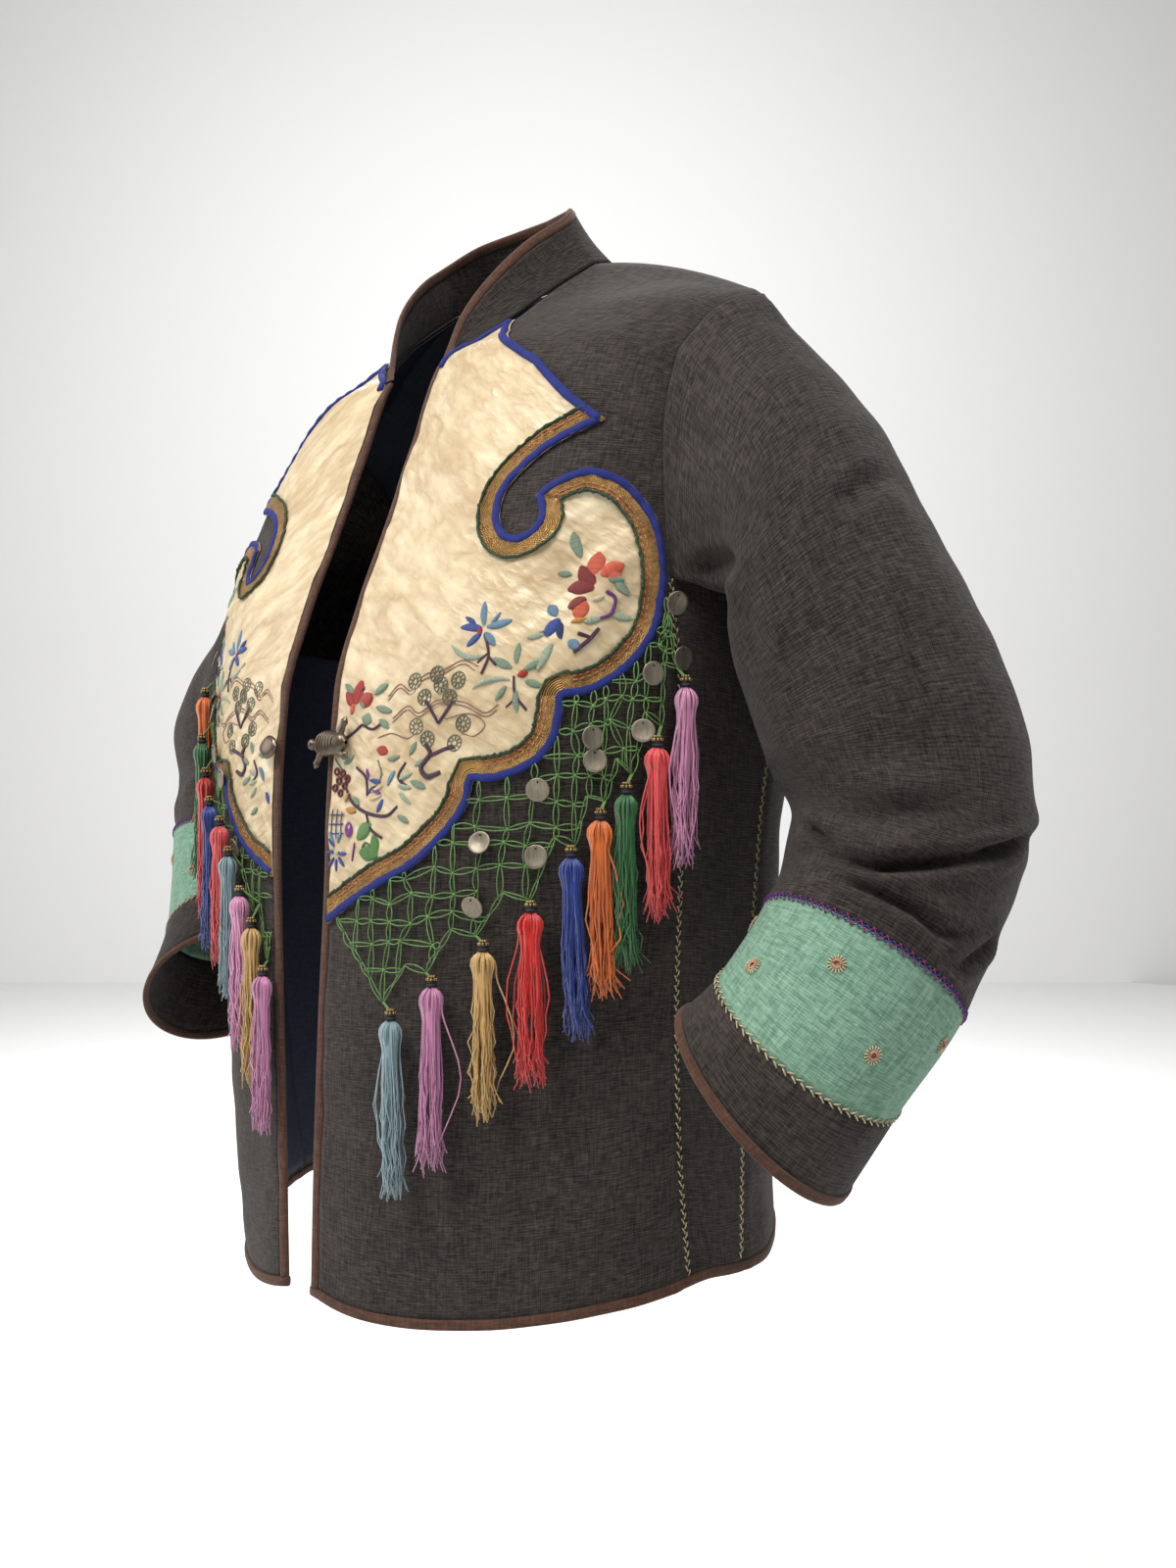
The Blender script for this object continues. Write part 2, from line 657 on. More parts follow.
def weave_group():
    """Hand-woven cloth: slubby weft ribs over a finer warp, mottled wider out."""
    tree, given, place, split = new_group("hand weave", ("Rib", 0.0013), ("Depth", 0.5))
    weft = streaks(tree, place, 160.0, 900.0)
    warp = streaks(tree, place, 900.0, 110.0)
    rib = rows_of(tree, split[1], given["Rib"], sum_of(tree, "MULTIPLY", weft, 9.0))
    over = ripples(tree, split[0], 0.0011, sum_of(tree, "MULTIPLY", warp, 6.0))
    cloth = layered(tree, sum_of(tree, "MULTIPLY", over, 0.14), (rib, 0.22), (weft, 0.62), (warp, 0.30))
    mottle = streaks(tree, place, 24.0, 34.0, 4.0)
    thick_weft = streaks(tree, place, 120.0, 660.0, 3.0)
    thick_warp = streaks(tree, place, 640.0, 85.0, 3.0)
    slub = sum_of(tree, "SUBTRACT", streaks(tree, place, 230.0, 640.0, 1.0), 0.66)
    slub = sum_of(tree, "MAXIMUM", slub, 0.0)
    shade = layered(tree, -2.13, (cloth, 1.3), (mottle, 0.45), (thick_weft, 1.6), (thick_warp, 1.3),
                    (slub, 5.0))
    cloth = layered(tree, cloth, (thick_warp, 0.6), (thick_weft, 0.9))
    return ended(tree, shade, cloth, 0.0006, given["Depth"])


def satin_group():
    """Old silk satin: crushed slanting puckers, a fine warp and faint stains."""
    tree, given, place, split = new_group("crushed satin")
    bent = add_node(tree, "ShaderNodeVectorRotate", {"Vector": place, "Angle": 0.6},
                    rotation_type="Z_AXIS").outputs[0]
    wide, crush = streaks(tree, bent, 26.0, 62.0), streaks(tree, bent, 64.0, 150.0)
    ridge, sharp = (sum_of(tree, "ABSOLUTE", sum_of(tree, "SUBTRACT", noise, 0.5), 0.0)
                    for noise in (wide, crush))
    thread = streaks(tree, place, 2500.0, 160.0, 1.0)
    height = layered(tree, 0.0, (sharp, -0.5), (ridge, -1.5), (thread, 0.03))
    stain = streaks(tree, place, 16.0, 22.0, 5.0)
    shade = layered(tree, -0.32, (ridge, 2.6), (stain, 1.3), (sharp, 0.9))
    return ended(tree, shade, height, 0.0036, 0.7)


def floss_group():
    """Rows of silk floss lying side by side, each a little lighter or darker."""
    tree, given, place, split = new_group("silk floss", ("Pitch", 0.0005))
    each = streaks(tree, place, 60.0, 1500.0, 1.0)
    row = rows_of(tree, split[1], given["Pitch"], sum_of(tree, "MULTIPLY", each, 2.0))
    return ended(tree, layered(tree, -0.55, (each, 1.6), (row, 0.6)), row, 0.0003, 0.8)


def braid_group():
    """Flat metal braid: fine slanting threads both ways, worn and crinkled."""
    tree, given, place, split = new_group("metal braid")
    worn = streaks(tree, place, 300.0, 420.0, 3.0)
    patch = streaks(tree, place, 30.0, 60.0, 3.0)
    push = sum_of(tree, "MULTIPLY", worn, 5.0)
    rising = ripples(tree, sum_of(tree, "ADD", split[0], split[1]), 0.0012, push)
    falling = ripples(tree, sum_of(tree, "SUBTRACT", split[0], split[1]), 0.0012, push)
    height = layered(tree, worn, (falling, 0.5), (rising, 0.5))
    return ended(tree, layered(tree, -1.12, (patch, 1.2), (height, 1.0)), height, 0.0006, 0.8)


def worn_group():
    """Thread and metal in use: fine grain and wider patches, lighter and darker."""
    tree, given, place, split = new_group("handled surface")
    grain = streaks(tree, place, 900.0, 900.0)
    patch = streaks(tree, place, 90.0, 90.0)
    return ended(tree, layered(tree, -0.8, (grain, 1.3), (patch, 1.3)), grain, 0.0002, 0.4)


WEAVE, CRUSHED, FLOSS, METAL_BRAID = weave_group(), satin_group(), floss_group(), braid_group()
HANDLED = worn_group()


def dressed(name, group, dark, light, rough, values=(), sheen=0.0, metal=0.0, by_object=False):
    """A material whose colour runs from dark to light with a group's shade, laid out by the
    cloth's own UV or by where it is on the object."""
    made = bpy.data.materials.new(name)
    made.use_nodes = True
    tree = made.node_tree
    shader = tree.nodes["Principled BSDF"]
    for key, value in (("Roughness", rough), ("Metallic", metal), ("Sheen Weight", sheen)):
        shader.inputs[key].default_value = value
    if by_object:
        place = add_node(tree, "ShaderNodeTexCoord").outputs["Object"]
    else:
        place = add_node(tree, "ShaderNodeUVMap", uv_map="cloth").outputs[0]
    effect = add_node(tree, "ShaderNodeGroup", node_tree=group)
    tree.links.new(place, effect.inputs["Place"])
    for key, value in dict(values).items():
        effect.inputs[key].default_value = value
    ramp = add_node(tree, "ShaderNodeValToRGB", {0: effect.outputs["Shade"]})
    ramp.color_ramp.elements[0].color = (*dark, 1.0)
    ramp.color_ramp.elements[1].color = (*light, 1.0)
    tree.links.new(ramp.outputs[0], shader.inputs["Base Color"])
    tree.links.new(effect.outputs["Normal"], shader.inputs["Normal"])
    return made


def plain(name, colour, rough, sheen=0.0, metal=0.0):
    """A material of one colour, a little lighter and darker from place to place."""
    dark, light = ([float(min(share * c, 1.0)) for c in colour] for share in (0.62, 1.34))
    return dressed(name, HANDLED, dark, light, rough, (), sheen, metal, True)


HEMP = dressed("dark hemp", WEAVE, srgb(14, 12, 12), srgb(78, 69, 65), 0.95,
               {"Rib": 0.0015, "Depth": 0.9}, 0.08)
BIAS = dressed("brown bias binding", WEAVE, srgb(62, 38, 28), srgb(104, 70, 54), 0.9,
               {"Rib": 0.0009, "Depth": 0.4}, 0.1)
LINEN = dressed("sea green linen", WEAVE, srgb(92, 132, 114), srgb(150, 190, 168), 0.9,
                {"Rib": 0.0009, "Depth": 0.5}, 0.1)
NAVY = dressed("navy lining", WEAVE, srgb(14, 19, 34), srgb(34, 44, 70), 0.75,
               {"Rib": 0.0008, "Depth": 0.2})
SATIN = dressed("cream satin", CRUSHED, srgb(184, 156, 116), srgb(236, 221, 188), 0.36)
GOLD = dressed("gold braid", METAL_BRAID, srgb(74, 44, 22), srgb(216, 172, 104), 0.34, {}, 0.0, 0.7)
BLUE = dressed("blue bias", WEAVE, srgb(12, 24, 92), srgb(34, 58, 168), 0.75,
               {"Rib": 0.0009, "Depth": 0.5})


def floss(name, colour):
    """Embroidery thread of that colour."""
    c = np.array(colour)
    return dressed(name, FLOSS, 0.48 * c, np.minimum(1.25 * c + 0.015, 1.0), 0.42, (), 0.15)

# ------------------------------------------------------------------ the panels' cloth
for side in SIDES:
    turned = side == "right"
    front = PANEL[side]["front"]
    run = arc(front, 1)
    uv = np.stack([run, np.broadcast_to(-DROPS[:, None], run.shape)], axis=-1)
    piece = shell("front_cloth_" + side, front, HEMP, CLOTH_WALL, turned, uv)
    stands_for("front_" + side)
    strip = PANEL[side]["strip"]
    strip = mirror(strip) if turned else strip
    piece = shell("side_cloth_" + side, strip, HEMP, CLOTH_WALL, turned)
    stands_for("side_" + side)


def back_shell(name, p, cloth, wall, uv, shut_from):
    """The back: two halves side by side, sharing their middle line from row shut_from down
    and open above it for the neck."""
    rows, cols = p.shape[:2]
    half = cols // 2
    ids = np.arange(rows * cols).reshape(rows, cols)
    ids[shut_from:, half] = ids[shut_from:, half - 1]
    cells = [np.stack([part[:-1, :-1], part[1:, :-1], part[1:, 1:], part[:-1, 1:]], -1).reshape(-1, 4)
             for part in (ids[:, :half], ids[:, half:])]
    cells = np.concatenate(cells)
    used, cells = np.unique(cells, return_inverse=True)
    return walled(add_mesh(name, p.reshape(-1, 3)[used], cells.reshape(-1, 4), cloth,
                           uv.reshape(-1, 2)[used]), wall)


back_halves = (PANEL["left"]["back"][:, ::-1], mirror(PANEL["right"]["back"]))
back = np.concatenate(back_halves, axis=1)
back_normal = np.concatenate([grid_normals(half) for half in back_halves], axis=1)
back_fade = edge_fade(back.shape[0], back.shape[1], True, True, False, True)
NECK_ROWS = int(np.searchsorted(BACK_DROPS, BACK_NECK_DROP - 1e-6))
back = folded(back, back_normal, BODY_FOLDS["back"], back_fade, ("left", "right", "top"))
back_run = arc(back, 1)
back_run = back_run - back_run[:, COLS:COLS + 1]
back_uv = np.stack([back_run, np.broadcast_to(-BACK_DROPS[:, None], back_run.shape)], axis=-1)
piece = back_shell("back_cloth", back, HEMP, CLOTH_WALL, back_uv, NECK_ROWS)
stands_for("back")

# ------------------------------------------------------------------ sleeves
AROUND = 192
BAND_ROW = 129
CUFF_ROW = BAND_ROW + 16


def evened(loop, count):
    """A closed line of points at equal steps along it, starting at the same point."""
    shut = np.concatenate([loop, loop[:1]])
    reach = lengths(shut)
    at = np.linspace(0, reach[-1], count, endpoint=False)
    return points_at(at, reach, shut)


def fine_sleeve(first, table, stations):
    """The sleeve's rounds at the given stations (0 the armhole, 1 each further round)."""
    cos, sin = turning(AROUND)
    centre, out, fore = (np.stack([table[s + a] for a in "xyz"], axis=1) for s in "cof")
    rounds = centre[:, None] + cos * out[:, None] + sin * fore[:, None]
    rounds = np.concatenate([first[None], rounds])
    middles = rounds.mean(axis=1)
    knots = lengths(middles)
    at = np.interp(stations, np.arange(len(knots)), knots)
    return flowing(knots, rounds, at)


def round_normals(p, turned):
    """Normals of a grid whose last column lies on its first."""
    wide = np.concatenate([p[:, -2:-1], p, p[:, 1:2]], axis=1)
    return grid_normals(wide, turned)[:, 1:-1]


TUBE = {}
for side in SIDES:
    turned = side == "right"
    arm = TABLES[side][2]
    fine = PANEL[side]
    above = DROPS <= ARMPIT_DROP
    behind = (BACK_DROPS <= ARMPIT_DROP) & (BACK_DROPS > 0)
    loop = np.concatenate([fine["raw_front"][above, -1], fine["strip"][0],
                           fine["back"][behind, -1][::-1]])
    loop = loop[np.concatenate([[True], np.linalg.norm(np.diff(loop, axis=0), axis=1) > 1e-5])]
    stations = np.concatenate([np.linspace(0, 6, BAND_ROW + 1),
                               np.linspace(6, 7, CUFF_ROW - BAND_ROW + 1)[1:],
                               np.linspace(7, 9, 21)[1:]])
    tube = np.roll(fine_sleeve(evened(loop, AROUND), arm, stations), AROUND // 2, axis=1)
    tube = np.concatenate([tube, tube[:, :1]], axis=1)
    TUBE[side] = mirror(tube) if turned else tube
    first_binding = int(np.searchsorted(stations, 8.0))
    cut_at = {"sleeve": (0, BAND_ROW), "sleeve_band": (BAND_ROW, CUFF_ROW),
              "cuff": (CUFF_ROW, first_binding)}
    TUBE[side + "_cuts"] = cut_at
    normal = round_normals(TUBE[side], not turned)
    ends = np.ones((TUBE[side].shape[0], 1))
    row = np.arange(len(ends))
    ends[:, 0] = softly(row, 0, 7) * (1 - 0.85 * softly(row, BAND_ROW - 7, BAND_ROW))
    TUBE[side] = folded(TUBE[side], normal, SLEEVE_FOLDS[side], ends, ("top",))
    wide = arc(TUBE[side], 1)
    long = arc(TUBE[side], 0).mean(axis=1, keepdims=True)
    middle_round = wide - wide[:, -1:] / 2
    uv = np.stack([middle_round, -np.broadcast_to(long, wide.shape)], axis=-1)
    for part, (a, b) in cut_at.items():
        piece = shell(part + "_cloth_" + side, TUBE[side][a:b + 1],
                      LINEN if part == "sleeve_band" else HEMP, CLOTH_WALL, not turned, uv[a:b + 1])
        stands_for(part + "_" + side)

# ------------------------------------------------------------------ collar
COLLAR = {}
for side in SIDES:
    turned = side == "right"
    fine = PANEL[side]
    table = TABLES[side][0]
    neck_front = triple(table, "in_", np.linspace(NECK_DROP, 0, 36))
    neck_back = triple(TABLES[side][1], "in_", np.linspace(0, BACK_NECK_DROP, 36)[1:])
    neck = np.concatenate([neck_front, neck_back])
    coarse = np.concatenate([triple(table, "in_", np.array([0.0525, 0.035, 0.0175, 0.0])),
                             triple(TABLES[side][1], "in_", np.array([0.0133, 0.0266, 0.040]))])
    edge_top = np.array([np.interp(NECK_DROP, DROPS, fine["edge"][:, k]) for k in range(3)])
    tops = np.concatenate([edge_top[None], np.stack([COLLAR_TOP[a] for a in "xyz"], axis=1)])
    base = np.concatenate([triple(table, "in_", np.array([NECK_DROP])), coarse])
    reach = lengths(base)
    here = lengths(neck)
    top = flowing(reach, tops, np.clip(here * reach[-1] / here[-1], 0, reach[-1]))
    if turned:
        neck, top = mirror(neck), mirror(top)
    COLLAR[side] = (neck, top)
neck = np.concatenate([COLLAR["right"][0], COLLAR["left"][0][-2::-1]])
top = np.concatenate([COLLAR["right"][1], COLLAR["left"][1][-2::-1]])
share = np.linspace(0, 1, 14)[:, None, None]
rise = top - neck
height = np.linalg.norm(rise, axis=1, keepdims=True)
under = top - rise * np.minimum(BINDING_WIDTH / height, 1.0)
stand = neck + share * (under - neck)
out_of_collar = grid_normals(stand, True)
bulge = 0.0015 * np.sin(np.pi * share[:, :, 0]) * np.ones(stand.shape[1])
stand = stand + bulge[..., None] * out_of_collar
piece = shell("collar_cloth", stand, HEMP, 0.0016, True)
stands_for("collar")

# ------------------------------------------------------------------ laying things on the fronts
STEP = 2.5
REACH = np.arange(0, 232, STEP)
LAY = {}


def lay_out(side):
    """A front and its side strip on a square lattice of run and drop, with normals."""
    front = PANEL[side]["front"]
    strip = PANEL[side]["strip_shown"]
    below = ROWS - strip.shape[0]
    far = np.concatenate([front, np.repeat(front[:, -1:], strip.shape[1] - 1, axis=1)], axis=1)
    far[below:, front.shape[1]:] = strip[:, 1:]
    beyond = unit(front[:below, -1] - front[:below, -4])
    step = 0.002 * np.arange(1, strip.shape[1])[None, :, None]
    far[:below, front.shape[1]:] = front[:below, -1:] + step * beyond[:, None]
    run = arc(far, 1) * 1000
    rows = np.stack([np.stack([np.interp(REACH, run[i], far[i, :, k]) for k in range(3)], axis=1)
                     for i in range(len(far))])
    tall = np.arange(0, HEM_DROP * 1000, STEP)
    at = tall / (DROPS[1] * 1000)
    low = np.minimum(at.astype(int), len(DROPS) - 2)
    part = (at - low)[:, None, None]
    lattice = rows[low] * (1 - part) + rows[low + 1] * part
    return lattice, grid_normals(lattice, side == "right")


def laid(side, run, drop, height=0.0):
    """Points that lie run mm in from the front-edge seam and drop mm down, height mm above the cloth."""
    lattice, normal = LAY[side]
    run, drop = np.broadcast_arrays(np.asarray(run, float), np.asarray(drop, float))
    r = np.clip(drop / STEP, 0, lattice.shape[0] - 1.001)
    c = np.clip(run / STEP, -8, lattice.shape[1] - 1.001)
    i = r.astype(int)
    j = np.maximum(c, 0).astype(int)
    s = (r - i)[..., None]
    t = (c - j)[..., None]

    def blend(a):
        return ((1 - s) * (1 - t) * a[i, j] + (1 - s) * t * a[i, j + 1]
                + s * (1 - t) * a[i + 1, j] + s * t * a[i + 1, j + 1])
    return blend(lattice) + (np.asarray(height)[..., None] / 1000) * unit(blend(normal))


for side in SIDES:
    shown = PANEL[side]["strip"]
    PANEL[side]["strip_shown"] = mirror(shown) if side == "right" else shown
    LAY[side] = lay_out(side)

# Outer edge of the half cloud-collar, mm in and down; turn is 1 at a sharp corner.
CLOUD_EDGE = columns("run drop turn", 1, """
    0 76 1
    6 38 1
    93 84 1
    120 107 1
    144 124 1
    131 132 0
    117 141 0
    103 153 0
    96 162 0
    94 171 0
    95 180 0
    101 188 0
    110 191 0
    116 189 0
    120 185 0
    119 176 0
    115 168 1
    122 162 0
    132 157 0
    142 154 0
    153 156 0
    162 160 0
    172 169 0
    181 182 0
    187 197 0
    192 215 0
    193 228 0
    192 242 0
    186 256 0
    177 267 0
    166 275 0
    156 279 0
    146 280 1
    145 291 0
    142 302 0
    134 312 0
    121 319 0
    106 322 0
    97 321 1
    94 333 0
    86 345 0
    74 357 0
    60 367 0
    42 375 0
    20 386 0
    0 397 1""")
# heights above the cloth and widths in mm, wall thicknesses in metres
SATIN_LIFT = 1.2
TRIM = 4.2
BRAID = 8.6
SATIN_WALL = 0.0005
BRAID_WALL = 0.0006


def smooth_chain(points, turns, step):
    """A line through the points, curved between turns (cubic, slopes from the neighbours)
    and stepped evenly; the turns stay sharp."""
    stops = np.nonzero(turns)[0]
    out = []
    for a, b in zip(stops[:-1], stops[1:]):
        p = points[a:b + 1]
        knots = np.concatenate([[0], np.cumsum(np.linalg.norm(np.diff(p, axis=0), axis=1) ** 0.8)])
        at = np.linspace(0, knots[-1], 12 * len(p))
        line = flowing(knots, p, at) if len(p) > 2 else p[0] + (p[1] - p[0]) * (at / at[-1])[:, None]
        reach = lengths(line)
        count = max(int(round(reach[-1] / step)), 1)
        even = np.linspace(0, reach[-1], count + 1)[:-1]
        out.append(points_at(even, reach, line))
    return np.concatenate(out + [points[stops[-1]:stops[-1] + 1]])


def within(points, loop):
    """True for points inside a closed flat loop (odd number of crossings to one side)."""
    a, b = loop, np.roll(loop, -1, axis=0)
    y = points[:, 1:2]
    spans = (a[:, 1] > y) != (b[:, 1] > y)
    rise = np.where(np.abs(b[:, 1] - a[:, 1]) < 1e-9, 1e-9, b[:, 1] - a[:, 1])
    cross = a[:, 0] + (y - a[:, 1]) / rise * (b[:, 0] - a[:, 0])
    return (spans & (points[:, 0:1] < cross)).sum(axis=1) % 2 == 1


def to_line(points, line):
    """How far each point is from a line, and how far along the line that is."""
    a, d = line[:-1], np.diff(line, axis=0)
    reach = lengths(line)
    rel = points[:, None] - a
    t = np.clip((rel * d).sum(-1) / (d * d).sum(-1), 0, 1)
    away = np.linalg.norm(rel - t[..., None] * d, axis=-1)
    k = away.argmin(axis=1)
    rows = np.arange(len(points))
    return away[rows, k], reach[k] + t[rows, k] * (reach[k + 1] - reach[k])


def offset_line(line, gap, loop):
    """The part of a line's parallel at that gap inside the loop, in order along it."""
    ahead = unit(np.gradient(line, axis=0))
    out = line + gap * np.stack([-ahead[:, 1], ahead[:, 0]], axis=1)
    away, _ = to_line(out, line)
    keep = (away > gap - 0.35) & within(out, loop)
    return out[keep]


def spread(outline, hole, step):
    """Flat triangles filling an outline (and outside a hole): lattice points and the edges."""
    lo, hi = outline.min(0), outline.max(0)
    x, y = np.meshgrid(*(np.arange(lo[k] + step / 2, hi[k], step) for k in range(2)))
    inner = np.stack([x.ravel(), y.ravel()], axis=1)
    inner = inner[within(inner, outline)]
    edges = [outline] if hole is None else [outline, hole]
    for edge in edges:
        shut = np.concatenate([edge, edge[:1]])
        inner = inner[to_line(inner, shut)[0] > 0.45 * step]
    points = [inner]
    links = []
    first = len(inner)
    for edge in edges:
        n = len(edge)
        links += [(first + k, first + (k + 1) % n) for k in range(n)]
        points.append(edge)
        first += n
    points = np.concatenate(points)
    made = delaunay_2d_cdt([Vector(p) for p in points], links, [], 0, 1e-5)
    spots = np.array([tuple(v) for v in made[0]])
    tris = np.array([f for f in made[2] if len(f) == 3])
    middle = spots[tris].mean(axis=1)
    keep = within(middle, outline)
    if hole is not None:
        keep &= ~within(middle, hole)
    tris = tris[keep]
    a, b, c = (spots[tris[:, k]] for k in range(3))
    wrong = (b[:, 0] - a[:, 0]) * (c[:, 1] - a[:, 1]) - (b[:, 1] - a[:, 1]) * (c[:, 0] - a[:, 0]) < 0
    tris[wrong] = tris[wrong][:, ::-1]
    used, tris = np.unique(tris, return_inverse=True)
    return spots[used], tris.reshape(-1, 3)


def shift_right(points, side):
    """The right half lies nearer its edge and a little higher below the neck."""
    if side == "left":
        return points
    share = softly(points[..., 1], SHIFT_FROM, SHIFT_FULL)[..., None]
    return points - share * np.array([RIGHT_SHIFT_RUN, RIGHT_SHIFT_DROP])


def crinkle(spots, seed):
    """Height in mm of the satin's puckers: soft slanting waves and finer crushed ones."""
    p = np.concatenate([spots, np.zeros((len(spots), 1))], axis=1)
    slant = np.stack([0.8 * p[:, 0] + 0.6 * p[:, 1], 0.25 * (p[:, 1] - 0.7 * p[:, 0]), p[:, 2]], axis=1)
    wide = unevenness(slant, 17.0, seed)
    fine = unevenness(slant * 1.7, 11.0, seed + 1)
    return 0.42 * (1 - np.abs(wide)) + 0.20 * fine


CHAIN = {}
for side in SIDES:
    points = np.stack([CLOUD_EDGE["run"], CLOUD_EDGE["drop"]], axis=1)
    chain = smooth_chain(points, CLOUD_EDGE["turn"], 1.6)
    chain = shift_right(chain, side)
    last = np.nonzero(chain[:, 0] >= 0)[0][-1]
    chain = chain[:last + 1]
    CHAIN[side] = chain
    outline = np.concatenate([chain, [[0.0, chain[-1, 1]], ]]) if chain[-1, 0] > 0.1 else chain
    edge_side = np.stack([np.full(60, 0.0), np.linspace(chain[-1, 1] - 2, chain[0, 1] + 2, 60)], axis=1)
    whole = np.concatenate([outline, edge_side])
    spots, tris = spread(whole, None, 2.2)
    away, _ = to_line(spots, chain)
    puckers = crinkle(spots, 21 if side == "left" else 31)
    lift = SATIN_LIFT + puckers * softly(away, 2, 14)
    faces = tris[:, ::-1] if side == "left" else tris
    satin = add_mesh("satin_cloth_" + side, laid(side, spots[:, 0], spots[:, 1], lift), faces,
                     SATIN, np.stack([spots[:, 0], -spots[:, 1]], axis=1) / 1000)
    walled(satin, SATIN_WALL)
    stands_for("satin_" + side)
    PANEL[side]["satin"] = satin
    PANEL[side]["whole"] = whole

# ------------------------------------------------------------------ gold border, blue edging
def tube(paths, radius, sides=6, squash=1.0, up=None):
    """Closed round rods along lines of points: a ring square to the line at each point,
    radius across it and squash times that along the up direction; returns points and faces."""
    everything, cells, first = [], [], 0
    for k, path in enumerate(paths):
        path = np.asarray(path)
        ahead = unit(np.gradient(path, axis=0))
        guide = np.broadcast_to(np.array([0.17, 0.31, 0.93]), path.shape) if up is None else up[k]
        side_way = unit(np.cross(ahead, guide))
        rise = unit(np.cross(side_way, ahead))
        size = np.broadcast_to(radius[k] if isinstance(radius, list) else radius, (len(path),))
        cos, sin = turning(sides)
        ring = path[:, None] + size[:, None, None] * (cos * side_way[:, None]
                                                      + squash * sin * rise[:, None])
        ring = np.concatenate([path[:1, None].repeat(sides, 1), ring, path[-1:, None].repeat(sides, 1)])
        everything.append(ring.reshape(-1, 3))
        cells.append(grid_faces(len(ring), sides, closed=True) + first)
        first += ring.shape[0] * sides
    return np.concatenate(everything), np.concatenate(cells)


def paired_up(u, v):
    """Two arrays spread over each other, as a list of pairs."""
    return np.stack(np.broadcast_arrays(u, v), -1).reshape(-1, 2)


def rods(name, paths, radius, cloth, sides=5, squash=1.0, up=None):
    """One object of many rods; the run of each is its UV length."""
    points, cells = tube(paths, radius, sides, squash, up)
    uv = []
    for path in paths:
        long = lengths(path)
        long = np.concatenate([long[:1], long, long[-1:]])
        uv.append(paired_up(long[:, None], np.linspace(0, 1, sides)[None, :]))
    return add_mesh(name, points, cells[:, ::-1], cloth, np.concatenate(uv))


def grown(line, side, height):
    """A flat line laid on a front at that height, and the way out from the cloth along it."""
    low = laid(side, line[:, 0], line[:, 1], height)
    high = laid(side, line[:, 0], line[:, 1], np.asarray(height) + 1.0)
    return low, unit(high - low)


FUZZ = plain("dark green couched thread", srgb(48, 72, 56), 0.9)
SALMON = plain("salmon thread", srgb(205, 130, 110), 0.6)
for side in SIDES:
    chain = CHAIN[side]
    whole = PANEL[side]["whole"]
    corner = np.linalg.norm(chain - shift_right(np.array([[144.0, 124.0]]), side)[0], axis=1).argmin()
    scallops = chain[corner:]
    spots, tris = spread(whole, None, 1.35)
    away, along = to_line(spots, scallops)
    middle = spots[tris].mean(axis=1)
    near, _ = to_line(middle, scallops)
    gold_tris = tris[(near < BRAID + TRIM)]
    used, gold_tris = np.unique(gold_tris, return_inverse=True)
    gold_tris = gold_tris.reshape(-1, 3)
    gs, ga, gl = spots[used], away[used], along[used]
    bump = 0.16 * np.sin(2 * np.pi * gl / 1.7 + 1.5 * np.sin(gl / 5)) + 0.10 * unevenness(
        np.stack([gl, ga * 2.2, 0 * ga], axis=1), 7.0, 8)
    lift = SATIN_LIFT + 0.95 + bump
    faces = gold_tris[:, ::-1] if side == "left" else gold_tris
    gold = add_mesh("gold_braid_" + side, laid(side, gs[:, 0], gs[:, 1], lift), faces, GOLD,
                    np.stack([gl, ga], axis=1) / 1000)
    walled(gold, BRAID_WALL)
    stands_for("gold_border_" + side)
    mid = offset_line(chain, TRIM / 2, whole)
    path, out = grown(mid, side, SATIN_LIFT + 0.5 + 0.25 * np.sin(np.arange(len(mid)) * 0.9))
    blue = rods("blue_bias_" + side, [path], 0.00235, BLUE, sides=10, squash=0.62, up=[out])
    stands_for("blue_edging_" + side)
    inner = offset_line(scallops, BRAID + TRIM, whole)
    path, out = grown(inner, side, SATIN_LIFT + 1.5)
    fuzzy = path + 0.0003 * rng.normal(size=path.shape)
    fuzz = rods("green_couching_" + side, [fuzzy], 0.00085, FUZZ, 6)
    dashes = []
    for gap, long in ((BRAID + TRIM - 2.0, 2), (BRAID + TRIM - 4.2, 2)):
        line = offset_line(scallops, gap, whole)
        for k in range(0, len(line) - long - 1, long + 1):
            seg = line[k:k + long + 1]
            if np.linalg.norm(seg[-1] - seg[0]) < 1.9 * long:
                arch = 0.25 * np.sin(np.linspace(0, np.pi, len(seg)))
                dashes.append(laid(side, seg[:, 0], seg[:, 1], SATIN_LIFT + 1.15 + arch))
    dash = rods("salmon_stitching_" + side, dashes, 0.00028, SALMON, 4)
    PANEL[side]["satin_extra"] = [blue]

# ------------------------------------------------------------------ bindings
BOUND = np.array([(0.00, -0.3), (0.03, 0.6), (0.14, 1.05), (0.45, 1.25), (0.78, 1.15), (0.95, 0.55),
                  (1.00, -0.5), (0.95, -1.5), (0.78, -2.0), (0.45, -2.2), (0.14, -2.0), (0.03, -1.5)])


